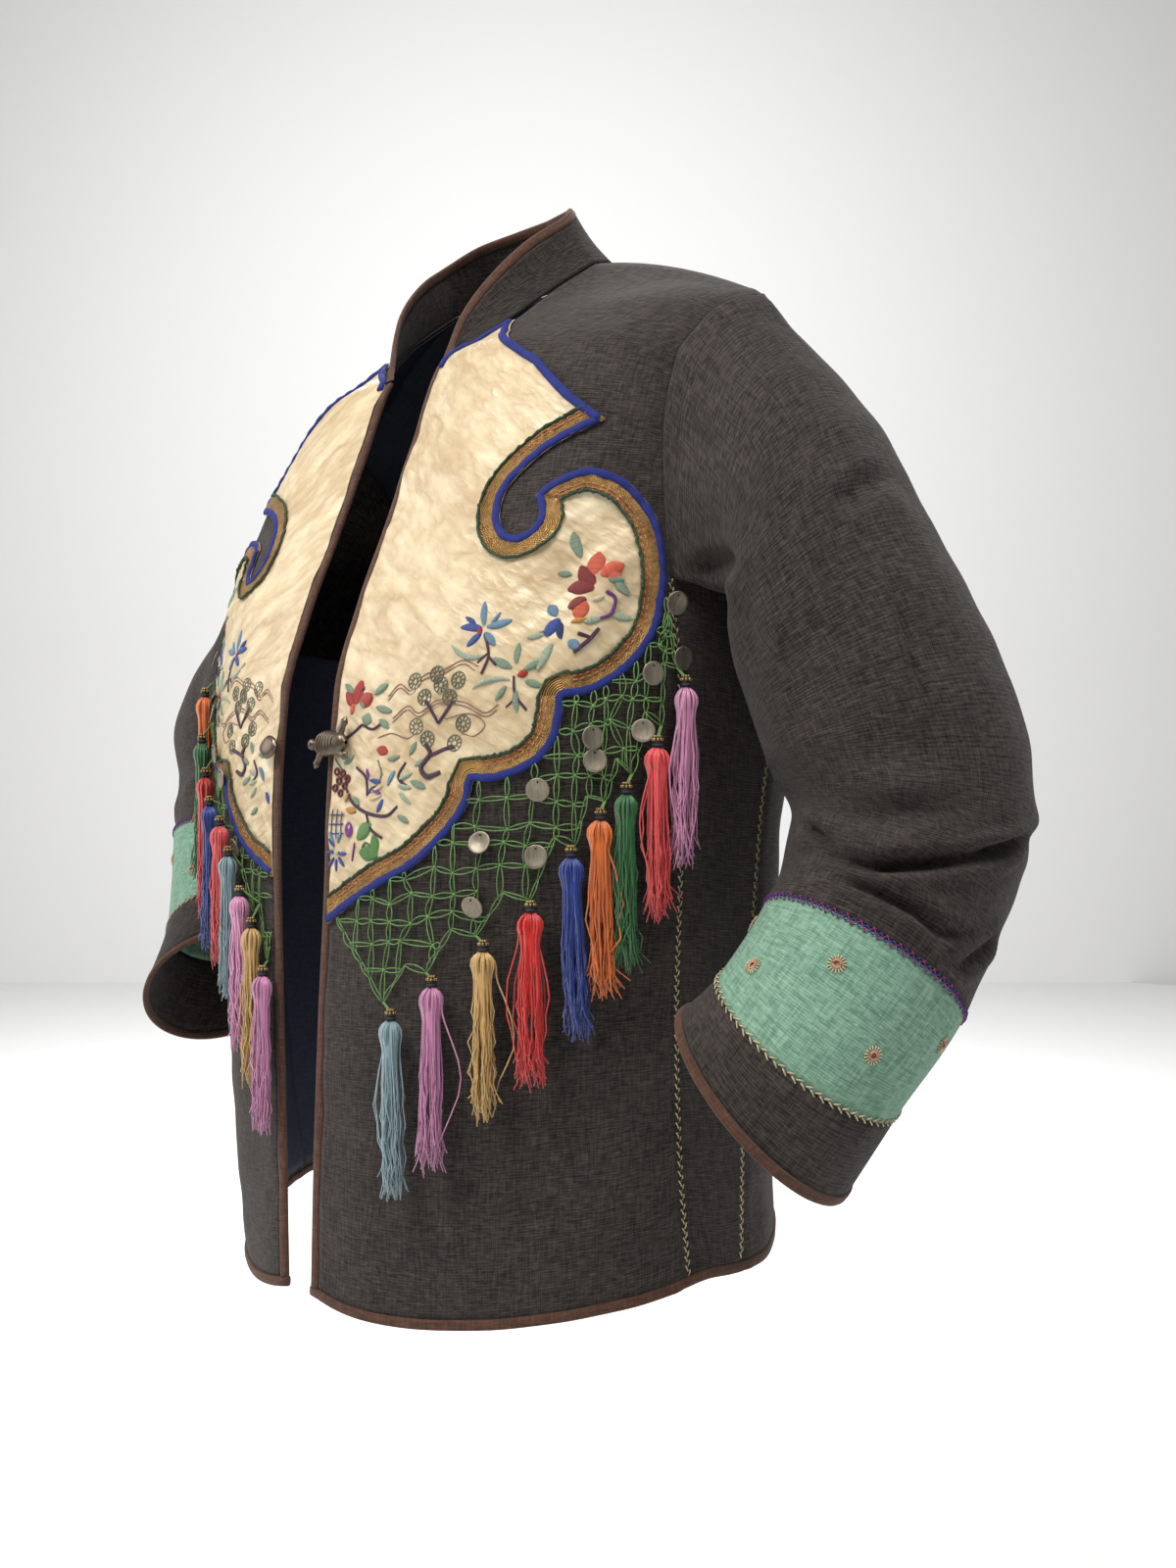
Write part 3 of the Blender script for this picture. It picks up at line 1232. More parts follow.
def binding(name, seam, edge, out, closed=False):
    """A strip folded over an edge: its rounded section, from seam to edge and back
    underneath, carried along the seam line; out is the cloth's outward way."""
    way = edge - seam
    section = (seam[:, None] + BOUND[None, :, 0:1] * way[:, None]
               + BOUND[None, :, 1:2] / 1000 * out[:, None])
    cols = section.shape[1]
    first, last = (end.mean(axis=1, keepdims=True).repeat(cols, 1)
                   for end in (section[:1], section[-1:]))
    ring = np.concatenate([section, section[:1]] if closed else [first, section, last])
    centre = ring.mean(axis=1, keepdims=True)
    inside_out = np.einsum("ijk,ijk->", grid_normals(np.concatenate([ring, ring[:, :1]], 1))[:, :-1],
                           ring - centre) < 0
    faces = grid_faces(len(ring), cols, closed=True, turned=not inside_out)
    long = arc(ring, 0).mean(axis=1, keepdims=True)
    uv = paired_up(long, np.linspace(0, 0.016, cols)[None, :])
    thing = add_mesh(name, ring.reshape(-1, 3), faces, BIAS, uv)
    return thing


hem_edge, hem_out = [], []
for side in SIDES:
    turned = side == "right"
    fine = PANEL[side]
    front = fine["front"]
    n = grid_normals(front, turned)
    rows = DROPS >= NECK_DROP - 1e-9
    edge = mirror(fine["edge"]) if turned else fine["edge"]
    strip = binding("edge_bias_" + side, front[rows, 0], edge[rows], n[rows, 1])
    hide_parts("edge_binding_" + side)
    strip_n = grid_normals(fine["strip_shown"], turned)
    back_row = back[-1, :COLS + 1] if side == "left" else back[-1, :COLS:-1]
    back_n = back_normal[-1, :COLS + 1] if side == "left" else back_normal[-1, :COLS:-1]
    line = np.concatenate([edge[-1:], front[-1], fine["strip_shown"][-1, 1:], back_row[1:]])
    outs = np.concatenate([n[-1, :1], n[-1], strip_n[-1, 1:], back_n[1:]])
    hem_edge.append(line)
    hem_out.append(outs)
    cuts = TUBE[side + "_cuts"]
    round_tube = TUBE[side][:, :-1]
    tube_n = round_normals(TUBE[side], not turned)[:, :-1]
    last = cuts["cuff"][1]
    cuff = binding("cuff_bias_" + side, round_tube[last], round_tube[-1], tube_n[last], closed=True)
    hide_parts("cuff_binding_" + side)
hem_line = np.concatenate([hem_edge[0], hem_edge[1][::-1][1:]])
hem_outs = np.concatenate([hem_out[0], hem_out[1][::-1][1:]])
gap = np.concatenate([[True], np.linalg.norm(np.diff(hem_line, axis=0), axis=1) > 1e-5])
hem_line, hem_outs = hem_line[gap], hem_outs[gap]
hem = binding("hem_bias", hem_line, hem_line - np.array([0, 0, BINDING_WIDTH]), hem_outs)
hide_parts("hem_binding")
collar_n = grid_normals(stand, True)[-1]
neck_bias = binding("collar_bias", under, top, collar_n)
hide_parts("collar_binding")

# ------------------------------------------------------------------ lining
for side in SIDES:
    turned = side == "right"
    front = PANEL[side]["front"]
    n = grid_normals(front, turned)
    piece = shell("lining_cloth_front_" + side, (front - LINING_IN * n)[::2, ::2], NAVY, LINING_WALL, turned)
    stands_for("lining_front_" + side)
thin_rows = np.r_[0:NECK_ROWS:2, NECK_ROWS:len(BACK_DROPS):2]
thin_cols = np.r_[0:COLS + 1:2, COLS + 1:2 * COLS + 2:2]
thin = np.ix_(thin_rows, thin_cols)
piece = back_shell("lining_cloth_back", (back - LINING_IN * back_normal)[thin], NAVY, LINING_WALL, back_uv[thin],
                   int(np.searchsorted(thin_rows, NECK_ROWS)))
stands_for("lining_back")
for side in SIDES:
    strip = PANEL[side]["strip_shown"]
    n = grid_normals(strip, side == "right")
    piece = shell("lining_cloth_side_" + side, (strip - LINING_IN * n)[::2, ::2], NAVY, LINING_WALL,
                  side == "right")
    stands_for(None)

# ------------------------------------------------------------------ knotted nets
THREAD = plain("green net thread", srgb(104, 144, 84), 0.7)
DISC = plain("dull silver discs", srgb(150, 142, 128), 0.45, 0.0, 0.8)
LOW_EDGE = {"left": np.stack([NET_EDGE["run"], NET_EDGE["drop"]], axis=1),
            "right": np.stack([RIGHT_NET_EDGE["run"], RIGHT_NET_EDGE["drop"]], axis=1)}
CELL = 12.4
# where the discs are tied, mm in and down
DISCS = {"left": [(199, 229), (206, 259), (190, 268), (185, 298), (160, 301), (161, 313), (133, 327),
                  (102, 354), (132, 362), (99, 387)],
         "right": [(39, 356), (63, 314), (80, 298), (101, 272), (118, 262), (140, 232)]}


def net_lines(side):
    """The net laid flat: level rows and hanging columns of meshes, each line a chain of
    knots; columns run down to the low edge's points and hollows."""
    chain = CHAIN[side]
    low = LOW_EDGE[side]
    start = np.linalg.norm(chain - low[-1], axis=1).argmin()
    region = np.concatenate([chain[start:], low])
    r = np.random.default_rng(5 if side == "left" else 6)
    runs = [low[0, 0]]
    for x in low[1:, 0]:
        if x - runs[-1] > 16:
            runs.append((x + runs[-1]) / 2)
        if abs(x - runs[-1]) > 3.5:
            runs.append(x)
    runs = np.array(sorted(set(runs)))
    levels = np.arange(low[:, 1].min() - 6, low[:, 1].max() + 4, CELL)
    knots = {}
    for i, x in enumerate(runs):
        for j, y in enumerate(levels):
            spot = np.array([[x + r.normal() * 1.8, y + 1.8 * np.sin(x / 19.0) + r.normal() * 1.7]])
            away = to_line(spot, np.concatenate([region, region[:1]]))[0][0]
            if within(spot, region)[0] and away > 2.8:
                knots[(i, j)] = spot[0]
    links = []

    def meet(a, way):
        """Where a line from a knot first leaves the region, within two meshes."""
        steps = a + np.outer(np.arange(1, 2.3 * CELL), way)
        out = np.nonzero(~within(steps, region))[0]
        return steps[out[0]] if len(out) else None
    for (i, j), a in knots.items():
        for di, dj in ((1, 0), (0, 1)):
            b = knots.get((i + di, j + dj))
            if b is not None:
                links.append((a, b))
        for di, dj in ((1, 0), (-1, 0), (0, 1), (0, -1)):
            if (i + di, j + dj) not in knots:
                end = meet(a, np.array([float(di), float(dj)]))
                if end is not None:
                    links.append((a, end))
    border = []
    for a, b in zip(low[:-1], low[1:]):
        count = max(int(round(np.linalg.norm(b - a) / 11)), 1)
        t = np.linspace(0, 1, count + 1)[:, None]
        line = a + (b - a) * t
        border += [(p, q) for p, q in zip(line[:-1], line[1:])]
    return knots, links, border


def paired(a, b, side, r, bow, height):
    """Two threads from knot to knot that bow apart and touch at the ends."""
    t = np.linspace(0, 1, 6)
    d = b - a
    size = np.linalg.norm(d)
    if size < 2.0:
        return []
    square = np.array([-d[1], d[0]]) / size
    made = []
    for sign in (-1, 1):
        swing = sign * (0.35 + bow * np.sin(np.pi * t)) + r.normal() * 0.35 * np.sin(np.pi * t)
        flat = a + t[:, None] * d + swing[:, None] * square
        lift = height + 0.25 * sign + 0.7 * np.sin(np.pi * t)
        made.append(laid(side, flat[:, 0], flat[:, 1], lift))
    return made


def balls(places, size, rings=4, sides=6):
    """Small round knots: a profile turned about an upright line at each place."""
    t = np.linspace(0, np.pi, rings + 1)[:, None]
    u = 2 * np.pi * np.arange(sides)[None, :] / sides
    ball = np.stack([np.sin(t) * np.cos(u), np.sin(t) * np.sin(u), np.cos(t) + 0 * u], axis=-1)
    size = np.broadcast_to(np.asarray(size), (len(places),))
    points = places[:, None, None] + size[:, None, None, None] * ball
    cells = grid_faces(rings + 1, sides, closed=True)[:, ::-1]
    each = (rings + 1) * sides
    cells = (cells[None] + each * np.arange(len(places))[:, None, None]).reshape(-1, 4)
    return points.reshape(-1, 3), cells


def disc_mesh(side, places):
    """Thin dished discs with a hole near the top: rings about the middle, leaning a little."""
    r = np.random.default_rng(9)
    radii = np.array([0.0, 2.4, 4.4, 5.6, 6.1, 6.1, 5.4, 0.0]) / 1000
    rise = np.array([0.25, 0.40, 0.75, 1.0, 0.9, 0.45, 0.30, -0.1]) / 1000
    cos, sin = turning(28)
    points, cells, spots = [], [], []
    for k, (run, drop) in enumerate(places):
        centre = laid(side, run, drop, 4.2)
        out = unit(laid(side, run, drop, 5.0) - centre)
        out = unit(out + r.normal(size=3) * 0.16)
        down = unit(np.array([0, 0, -1.0]) + out[2] * out)
        over = np.cross(down, out)
        ring = centre + radii[:, None, None] * (cos * over + sin * down) + rise[:, None, None] * out
        points.append(ring.reshape(-1, 3))
        cells.append(grid_faces(8, 28, closed=True) + k * 8 * 28)
        spots.append(centre - 0.0040 * down + 0.0010 * out)
    return np.concatenate(points), np.concatenate(cells), np.array(spots)


HOLE = plain("disc holes", (0.01, 0.01, 0.01), 0.8)
for side in SIDES:
    r = np.random.default_rng(11 if side == "left" else 12)
    knots, links, border = net_lines(side)
    threads = []
    for a, b in links:
        threads += paired(a, b, side, r, 0.95, 2.4)
    for a, b in border:
        threads += paired(a, b, side, r, 0.7, 2.6)
    threads = [t for t in threads if len(t)]
    points, cells = tube(threads, 0.00035, 4)
    spots = np.array(list(knots.values()))
    tied = laid(side, spots[:, 0], spots[:, 1], 2.5)
    ball_points, ball_cells = balls(tied, r.uniform(0.0008, 0.0012, len(tied)))
    net = add_mesh("net_threads_" + side, np.concatenate([points, ball_points]),
                   np.concatenate([cells[:, ::-1], ball_cells + len(points)]), THREAD)
    stands_for("net_" + side)
    points, cells, holes = disc_mesh(side, DISCS[side])
    discs = add_mesh("net_discs_" + side, points, cells, DISC)
    points, cells = balls(holes, 0.00055)
    hole = add_mesh("disc_holes_" + side, points, cells, HOLE)

# ------------------------------------------------------------------ tassels
SILK = {"steel_blue": srgb(128, 156, 166), "lilac": srgb(192, 126, 170), "straw": srgb(205, 166, 98),
        "red": srgb(205, 32, 28), "royal_blue": srgb(30, 60, 145), "orange": srgb(222, 112, 36),
        "green": srgb(36, 104, 52), "coral": srgb(220, 74, 78), "pink": srgb(205, 140, 180)}
SILK_CLOTH = {name: plain("silk " + name.replace("_", " "), colour, 0.36, 0.3)
              for name, colour in SILK.items()}
TASSEL_SILKS = {"left": ["steel_blue", "lilac", "straw", "red", "royal_blue", "orange", "green",
                         "coral", "pink"],
                "right": ["lilac", "straw", "pink", "steel_blue", "coral", "royal_blue", "red",
                          "green", "orange"]}
# half-width of a tassel's core from its top down
CORE = np.array([1.2, 3.6, 4.4, 3.6, 3.0, 2.6, 2.4, 2.0, 1.0]) / 1000
COLLAR_THREAD = plain("navy whipping", srgb(24, 26, 40), 0.7)
BEAD = plain("metal beads", srgb(150, 130, 90), 0.35, 0.0, 0.8)


def skein(top, length, seed, out):
    """One tassel hanging from top: strands that leave a tight neck, swell into a head,
    draw in and fall in two loose hanks with frayed ends; rods along wandering lines."""
    r = np.random.default_rng(seed)
    count = 74
    t = np.concatenate([[0, 0.012, 0.035, 0.065, 0.10, 0.145], np.linspace(0.2, 1.0, 9)])
    angle = r.uniform(0, 2 * np.pi, count)
    deep = np.sqrt(r.uniform(0.12, 1, count))
    end = length * r.uniform(0.86, 1.02, count)
    hank = np.where(np.cos(angle) > 0, 1.0, -1.0)
    part = r.uniform(0.2, 1.0)
    swell = np.interp(t, [0, 0.012, 0.035, 0.065, 0.10, 0.145, 0.2, 0.6, 1.0],
                      [0.9, 2.3, 4.6, 6.2, 6.4, 5.3, 4.7, 5.2, 6.2])
    wander = r.normal(size=(count, 3, 2)) * np.array([0.35, 0.6, 0.9])[None, :, None]
    phase = r.uniform(0, 6.28, (count, 3))
    waves = np.array([1.3, 3.1, 6.5])
    slack = softly(t, 0.12, 0.8)
    sway = (np.sin(2 * np.pi * waves[None, :, None] * t[None, None] * 0.8 + phase[..., None])
            * slack[None, None]).transpose(0, 2, 1) @ wander
    x = deep[:, None] * np.cos(angle)[:, None] * swell + sway[..., 0]
    y = deep[:, None] * np.sin(angle)[:, None] * swell * 0.85 + sway[..., 1]
    x = x + hank[:, None] * part * 1.3 * np.sin(np.pi * softly(t, 0.15, 1.0))
    lean = r.normal() * 1.6
    x = x + lean * t ** 1.5
    stray = r.uniform(size=count) < 0.10
    strays = stray * r.normal(size=count) * 5.0
    x = x + strays[:, None] * np.sin(np.pi * t) ** 2
    fray = np.clip((t - 0.86) / 0.14, 0, 1) * r.normal(size=(count, 1)) * 2.6
    x, y = x + fray, y + fray * 0.5
    over = unit(np.array([-out[1], out[0], 0.0]))
    fore = np.array([out[0], out[1], 0.0])
    z = -end[:, None] * t * 1000
    curl = np.clip((t - 0.93) / 0.07, 0, 1) * r.uniform(0, 3.0, (count, 1))
    lines = (top + (x[..., None] * over + np.maximum(y, -5.6)[..., None] * fore) / 1000
             + np.array([0, 0, 1.0]) * ((z + curl) / 1000)[..., None])
    size = np.interp(t, [0, 0.035, 0.10, 0.2, 1.0], [0.0004, 0.00072, 0.0008, 0.00052, 0.00036])
    return lines, size


def rods_even(lines, size, sides):
    """Many rods of equal point count at once: rings square to lines (count, steps, 3)."""
    ahead = unit(np.gradient(lines, axis=1))
    guide = np.array([0.3, 0.9, 0.2])
    side_way = unit(np.cross(ahead, guide))
    rise = np.cross(side_way, ahead)
    cos, sin = turning(sides)
    ring = (lines[:, :, None] + size[None, :, None, None]
            * (cos * side_way[:, :, None] + sin * rise[:, :, None]))
    n, m = ring.shape[:2]
    caps = [lines[:, :1, None].repeat(sides, 2), ring, lines[:, -1:, None].repeat(sides, 2)]
    ring = np.concatenate(caps, axis=1)
    cells = grid_faces(m + 2, sides, closed=True)
    cells = (cells[None] + (m + 2) * sides * np.arange(n)[:, None, None]).reshape(-1, 4)
    along = np.arange(m + 2)[None, :, None] / (m + 1) + 0 * ring[..., 0]
    which = np.arange(n)[:, None, None] / n + 0 * ring[..., 0]
    return ring.reshape(-1, 3), cells[:, ::-1], np.stack([which, along], -1).reshape(-1, 2)


def turned_ring(centre, radius, thick, rows=8, sides=16):
    """A soft ring: a round section of that thickness carried round an upright line."""
    t = 2 * np.pi * np.arange(rows) / rows
    u = 2 * np.pi * np.arange(sides) / sides
    away = radius + thick * np.cos(t)[:, None] + 0 * u[None, :]
    ring = np.stack([away * np.cos(u), away * np.sin(u), thick * np.sin(t)[:, None] + 0 * away], -1)
    ring = np.concatenate([ring, ring[:1]])
    return centre + ring.reshape(-1, 3), grid_faces(rows + 1, sides, closed=True)[:, ::-1]


def joined(parts):
    points = np.concatenate([p for p, _ in parts])
    starts = np.cumsum([0] + [len(p) for p, _ in parts[:-1]])
    return points, np.concatenate([c + s for (_, c), s in zip(parts, starts)])


for side in SIDES:
    table = TASSELS[side]
    whips, bead_spots, links = [], [], []
    for k in range(len(table["run"])):
        silk = TASSEL_SILKS[side][k]
        run, drop = table["run"][k], table["drop"][k]
        place = laid(side, run, drop, 0.0)
        out = laid(side, run, drop, 1.0) - place
        out = unit(np.array([out[0], out[1], 0.0]))
        top = place + 0.0098 * out
        skirt_top = top - np.array([0, 0, 0.0045])
        seed = 40 + k + (20 if side == "right" else 0)
        lines, size = skein(skirt_top, table["length"][k] - 0.004, seed, out)
        points, cells, uv = rods_even(lines, size, 3)
        core_line = skirt_top - np.outer(np.linspace(0.001, 0.55 * table["length"][k], 9), [0, 0, 1.0])
        core, core_cells = tube([core_line], [CORE], 8)
        body = add_mesh("tassel_%s_%d_strands" % (side, k + 1), np.concatenate([points, core]),
                        np.concatenate([cells, core_cells[:, ::-1] + len(points)]), SILK_CLOTH[silk],
                        np.concatenate([uv, np.tile([[0.5, 0.5]], (len(core), 1))]))
        stands_for("tassel_%s_%d" % (side, k + 1))
        whips.append(turned_ring(skirt_top + np.array([0, 0, 0.0005]), 0.0019, 0.0011))
        whips.append(turned_ring(skirt_top + np.array([0, 0, 0.0019]), 0.0016, 0.0010))
        turn = 2 * np.pi * np.arange(8) / 8
        for level, wide in ((0.0034, 0.0024), (0.0049, 0.0016)):
            bead_spots.append(skirt_top + np.stack([wide * np.cos(turn), wide * np.sin(turn),
                                                    level + 0 * turn], axis=1))
        low = LOW_EDGE[side]
        near = low[((low - (run, drop)) ** 2).sum(axis=1).argmin()]
        knot = laid(side, near[0], near[1], 2.6)
        for way in (-0.0004, 0.0004):
            over = np.cross(out, [0, 0, 1.0]) * way
            links.append(np.linspace(knot + over, skirt_top + np.array([0, 0, 0.004]) + over, 6))
    points, cells = joined(whips)
    whip = add_mesh("tassel_whipping_" + side, points, cells, COLLAR_THREAD)
    points, cells = balls(np.concatenate(bead_spots), 0.00095, 4, 6)
    beads = add_mesh("tassel_beads_" + side, points, cells, BEAD)
    points, cells = tube(links, 0.0005, 4)
    hang = add_mesh("tassel_cords_" + side, points, cells[:, ::-1], THREAD)

# ------------------------------------------------------------------ stitched seams, rosettes, clasp
CREAM_THREAD = plain("cream thread", srgb(196, 184, 150), 0.7)
MAGENTA_THREAD = plain("magenta thread", srgb(128, 42, 104), 0.6)
INDIGO_THREAD = plain("indigo thread", srgb(52, 54, 140), 0.6)
PEWTER = plain("pewter", srgb(112, 100, 88), 0.35, 0.0, 0.85)


def along_line(line, out, step):
    """A line and its outward way at even steps."""
    reach = lengths(line)
    at = np.arange(0, reach[-1], step)
    spot = points_at(at, reach, line)
    way = unit(points_at(at, reach, out))
    return spot, way


def feather(line, out, step, wide, lift=0.0007):
    """Feather stitch: slanting stitches from a seam to left and right by turns."""
    spot, way = along_line(line, out, step)
    ahead = unit(np.gradient(spot, axis=0))
    over = np.cross(ahead, way)
    made = []
    for k in range(len(spot) - 1):
        sign = 1 if k % 2 else -1
        a = spot[k] + sign * wide * over[k] - 0.25 * step * ahead[k]
        b = spot[k + 1]
        mid = (a + b) / 2
        made.append(np.array([a + lift * 0.5 * way[k], mid + lift * way[k], b + lift * 0.5 * way[k]]))
    return made


def crossed(line, out, step, wide, lift=0.0008):
    """Herringbone: long slanting stitches that cross near the top and the bottom."""
    spot, way = along_line(line, out, step)
    ahead = unit(np.gradient(spot, axis=0))
    over = np.cross(ahead, way)
    made = []
    for k in range(len(spot) - 2):
        sign = 1 if k % 2 else -1
        a = spot[k] + sign * wide * over[k] + lift * 0.6 * way[k]
        b = spot[k + 1] - sign * wide * over[k + 1] + 0.4 * step * ahead[k] + lift * 0.6 * way[k]
        made.append(np.array([a, (a + b) / 2 + 0.5 * lift * way[k], b]))
    return made


def rosette(place, out, down, radius):
    """A little sun: spokes from a ring, round a darker eye."""
    over = np.cross(out, down)
    rays, eye = [], []
    for u in 2 * np.pi * np.arange(16) / 16:
        way = np.cos(u) * over + np.sin(u) * down
        rays.append(place + 0.0005 * out + np.outer([0.45 * radius, radius], way))
    u = np.linspace(0, 2 * np.pi, 13)[:, None]
    eye.append(place + 0.0008 * out + 0.4 * radius * (np.cos(u) * over + np.sin(u) * down))
    return rays, eye


for side in SIDES:
    turned = side == "right"
    strip = PANEL[side]["strip_shown"]
    n = grid_normals(strip, turned)
    seams = []
    for edge in (0, -1):
        seams += feather(strip[:, edge], n[:, edge], 0.0026, 0.0014)
    tube_points = TUBE[side]
    tube_n = round_normals(tube_points, not turned)
    cuts = TUBE[side + "_cuts"]
    low = cuts["sleeve_band"][1]
    seams += feather(tube_points[low], tube_n[low], 0.0026, 0.0017)
    piece = rods("cream_feather_stitch_" + side, seams, 0.00040, CREAM_THREAD, 4)
    high = cuts["sleeve_band"][0]
    spot = tube_points[high]
    piece = rods("magenta_stitch_" + side, crossed(spot, tube_n[high], 0.0034, 0.0021), 0.00030,
                 MAGENTA_THREAD, 4)
    second = crossed(np.roll(spot[:-1], 2, axis=0), tube_n[high][:-1], 0.0034, 0.0016, 0.0010)
    piece = rods("indigo_stitch_" + side, second, 0.00026, INDIGO_THREAD, 4)
    rays, eyes = [], []
    middle_row = (low + high) // 2
    for k in range(6, AROUND, 21):
        row = middle_row + (2 if (k // 21) % 2 else -3)
        place, out = tube_points[row, k], tube_n[row, k]
        down = unit(tube_points[row + 1, k] - tube_points[row, k])
        r_rays, r_eye = rosette(place, out, down, 0.0046)
        rays += r_rays
        eyes += r_eye
    piece = rods("sun_rosette_rays_" + side, rays, 0.00035, CREAM_THREAD, 4)
    piece = rods("sun_rosette_eyes_" + side, eyes, 0.00055, SALMON, 4)


def bead_body(rows, centre, way, up):
    """A smooth body turned about a level line: along, half-height and half-thickness in mm."""
    rows = np.array(rows, dtype=float) / 1000
    cos, sin = turning(20)
    out = np.cross(way, up)
    along = np.linspace(0, len(rows) - 1, 40)
    shape = flowing(np.arange(len(rows), dtype=float), rows, along)
    shape[:, 1:] = np.maximum(shape[:, 1:], 0.00005)
    ring = (centre + shape[:, 0, None, None] * way
            + shape[:, 1, None, None] * cos * up + shape[:, 2, None, None] * sin * out)
    return ring.reshape(-1, 3), grid_faces(40, 20, closed=True)[:, ::-1]


for side in SIDES:
    sign = 1.0 if side == "left" else -1.0
    drop = 1000 * CLASP_DROP
    centre = laid(side, 0.5, drop, 6.2)
    out = unit(centre - laid(side, 0.5, drop, 0.0))
    way = laid(side, 14.0, drop, 0.0) - laid(side, 1.0, drop, 0.0)
    way = unit(way - (way @ out) * out)
    up = sign * np.cross(out, way)
    parts = []
    if side == "left":
        parts.append(bead_body([(-12, 1.5, 1.2), (-9, 5.6, 2.6), (-3, 7.4, 4.0), (5, 7.0, 4.2),
                                        (12, 5.0, 3.2), (15, 1.0, 1.0)], centre, way, up))
        for tilt, along, off in ((62, 8.0, 3.5), (-118, -5.0, -3.0), (-20, 6.0, -4.0)):
            a = np.radians(tilt)
            leg = way * np.cos(a) + up * np.sin(a)
            parts.append(bead_body([(-2, 1.6, 1.2), (2, 2.8, 1.8), (7, 2.0, 1.5), (9.5, 2.5, 1.7),
                                           (12, 0.4, 0.4)], centre + 0.001 * (along * way + off * up),
                                   leg, np.cross(out, leg)))
        parts.append(bead_body([(-17.0, 0.2, 0.2), (-16.2, 2.6, 2.2), (-14.0, 3.3, 2.8),
                                (-11.6, 1.4, 1.2)], centre, way, up))
        ridges = []
        for x in (-6, -3.5, -1, 1.5, 4, 6.5):
            v = np.linspace(-1.2, 1.2, 9)
            high = 7.0 * (1 - ((x + 0.5) / 15.0) ** 2)
            ridges.append(centre + x / 1000 * way + np.outer(np.sin(v) * high / 1000, up)
                          + np.outer(np.cos(v) * 4.2 / 1000, out))
        parts.append(tube(ridges, 0.00055, 5))
        parts[-1] = (parts[-1][0], parts[-1][1][:, ::-1])
    else:
        parts.append(bead_body([(-9, 0.5, 0.5), (-6, 5.0, 2.0), (0, 7.0, 2.8), (5, 4.0, 2.2),
                                (8, 0.6, 0.6)], centre, way, up))
    points, cells = joined(parts)
    piece = add_mesh("clasp_body_" + side, points, cells, PEWTER)
    stands_for("clasp_" + side)

# ------------------------------------------------------------------ embroidered flowers
LIFT = SATIN_LIFT + 0.45
THREADS = {"steel blue": (108, 148, 178, "steel_blue"), "royal blue": (42, 76, 160, "royal_blue"),
           "deep blue": (24, 40, 105, "royal_blue"), "red": (182, 38, 34, "red"),
           "crimson": (132, 24, 28, "red"), "coral": (224, 98, 72, "coral"),
           "dark purple": (78, 24, 74, "lilac"), "violet": (128, 48, 146, "lilac"),
           "pale green": (172, 188, 164, "green"), "sea green": (134, 158, 134, "green"),
           "leaf green": (84, 140, 66, "green"), "cream": (228, 214, 182, "straw"),
           "gold": (208, 150, 60, "straw"), "brown pink": (176, 128, 112, "coral"),
           "grey green": (138, 148, 124, "green")}
EMBROIDERY = {name: floss(name + " embroidery", srgb(*row[:3])) for name, row in THREADS.items()}
